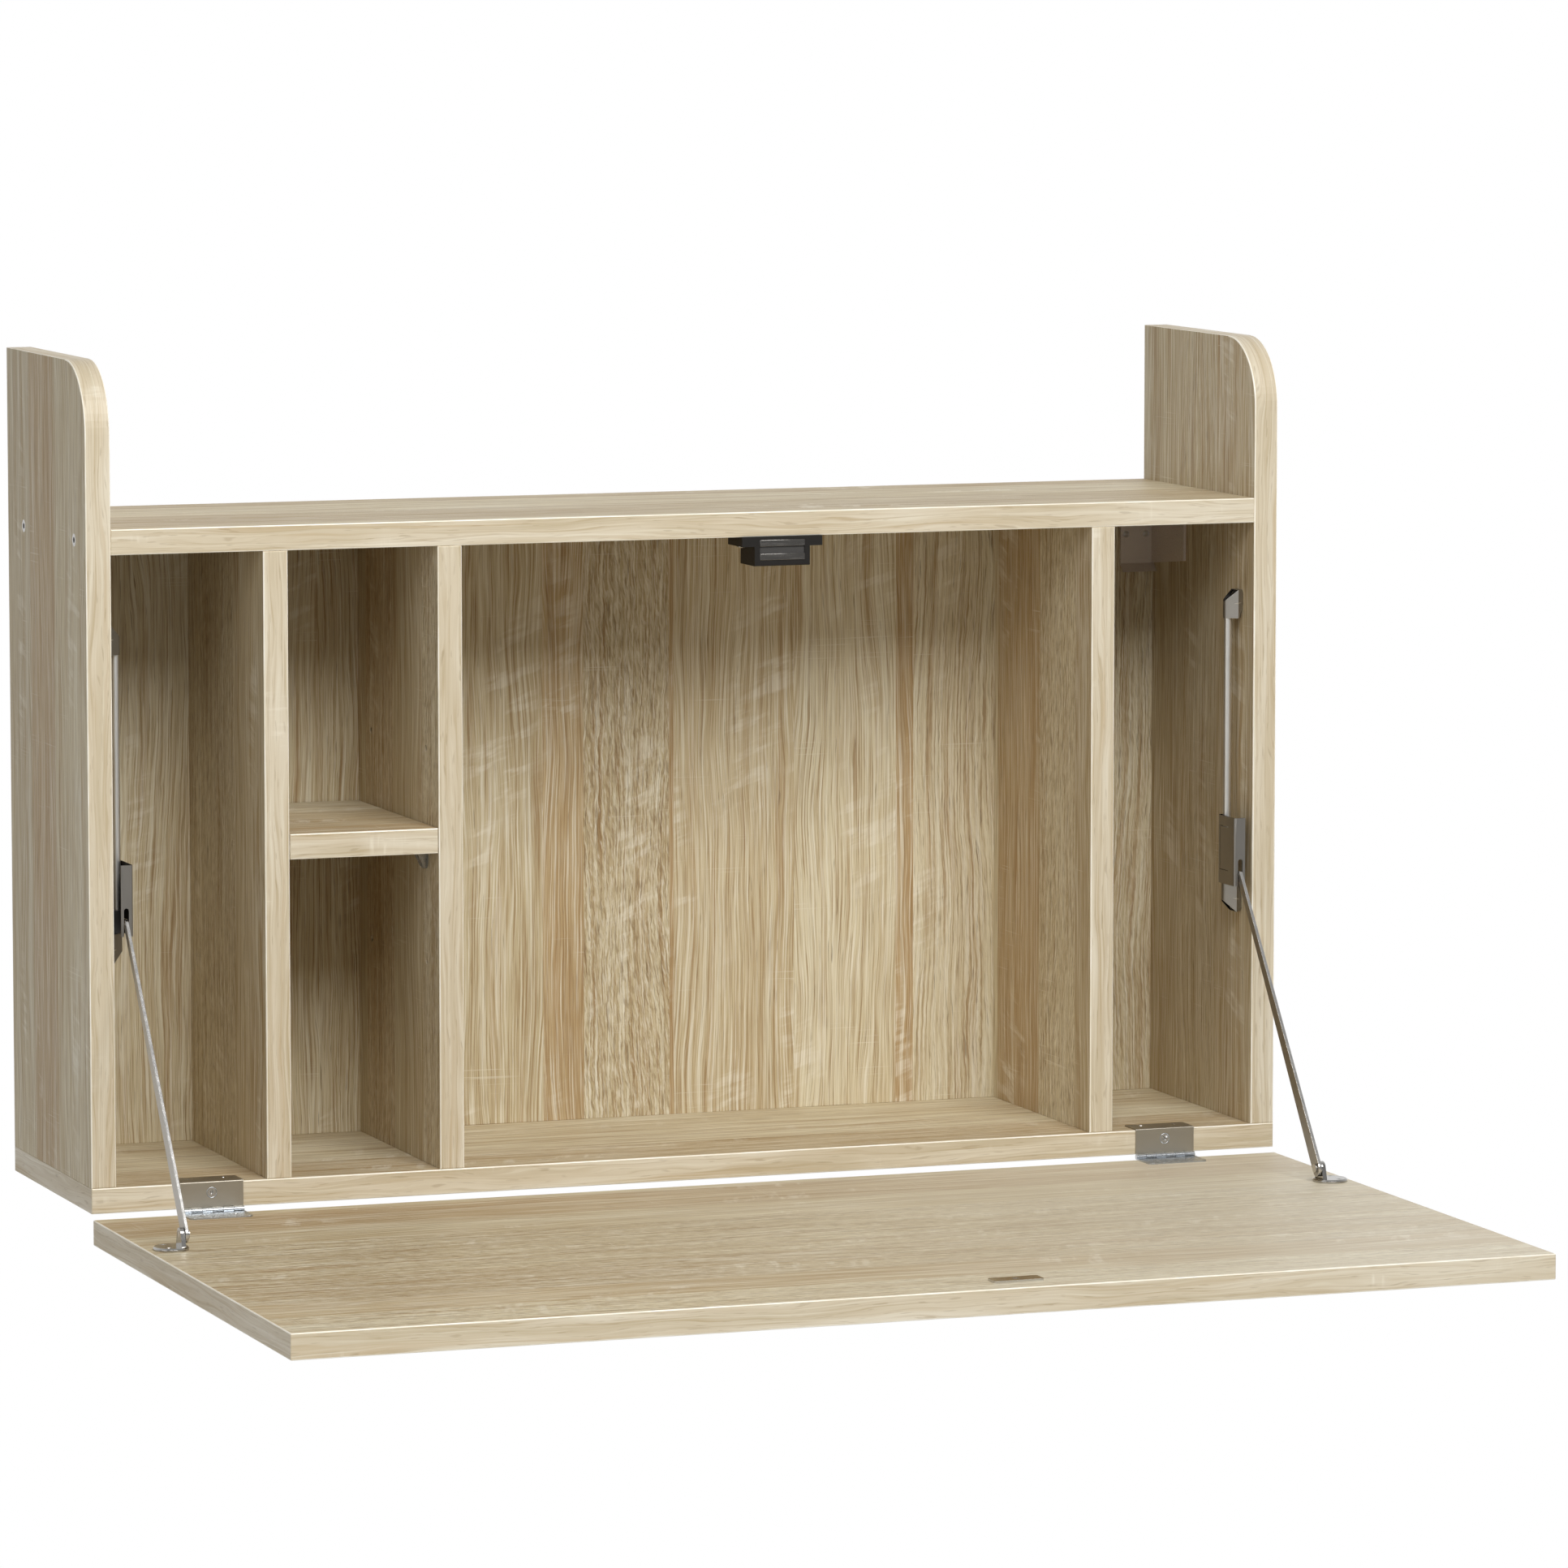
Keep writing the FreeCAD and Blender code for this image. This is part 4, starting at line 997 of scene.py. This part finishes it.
# What shines is bright behind the desk and dimmer in front of it, as in a studio.
MIRROR_FADE = (("From Min", -0.5), ("From Max", 0.7), ("To Min", 0.30), ("To Max", 0.90))


def world():
    made = bpy.data.worlds.new("studio_white")
    scene.world = made
    made.use_nodes = True
    tree = made.node_tree
    tree.nodes.clear()
    output = tree.nodes.new("ShaderNodeOutputWorld")
    path = tree.nodes.new("ShaderNodeLightPath")
    lit, mirrored, seen = (tree.nodes.new("ShaderNodeBackground") for _ in range(3))
    for background, color in ((lit, WARM), (mirrored, WHITE), (seen, WHITE)):
        background.inputs["Color"].default_value = color
    lit.inputs["Strength"].default_value = LIT_STRENGTH
    seen.inputs["Strength"].default_value = SEEN_STRENGTH
    place = tree.nodes.new("ShaderNodeTexCoord")
    split = tree.nodes.new("ShaderNodeSeparateXYZ")
    fade = tree.nodes.new("ShaderNodeMapRange")
    tree.links.new(place.outputs["Generated"], split.inputs[0])
    tree.links.new(split.outputs["Y"], fade.inputs["Value"])
    for socket, value in MIRROR_FADE:
        fade.inputs[socket].default_value = value
    tree.links.new(fade.outputs["Result"], mirrored.inputs["Strength"])
    shown = lit.outputs[0]
    for ray, background in (("Is Glossy Ray", mirrored), ("Is Camera Ray", seen)):
        mix = tree.nodes.new("ShaderNodeMixShader")
        tree.links.new(path.outputs[ray], mix.inputs[0])
        tree.links.new(shown, mix.inputs[1])
        tree.links.new(background.outputs[0], mix.inputs[2])
        shown = mix.outputs[0]
    tree.links.new(shown, output.inputs["Surface"])


CAMERA_PLACE = (-1.936233, -5.672726, 0.921443)
CAMERA_DOWN, CAMERA_RIGHT = 6.256, 20.128


def camera():
    data = bpy.data.cameras.new("camera")
    data.lens = 187.236
    data.sensor_width = 36
    data.clip_end = 50
    obj = bpy.data.objects.new("camera", data)
    obj.location = CAMERA_PLACE
    obj.rotation_euler = (math.radians(90 - CAMERA_DOWN), 0, math.radians(-CAMERA_RIGHT))
    scene.collection.objects.link(obj)
    scene.camera = obj


floor()
world()
for name, values in LIGHTS.items():
    area_light(name, *values)
camera()
scene.view_settings.view_transform = "Standard"
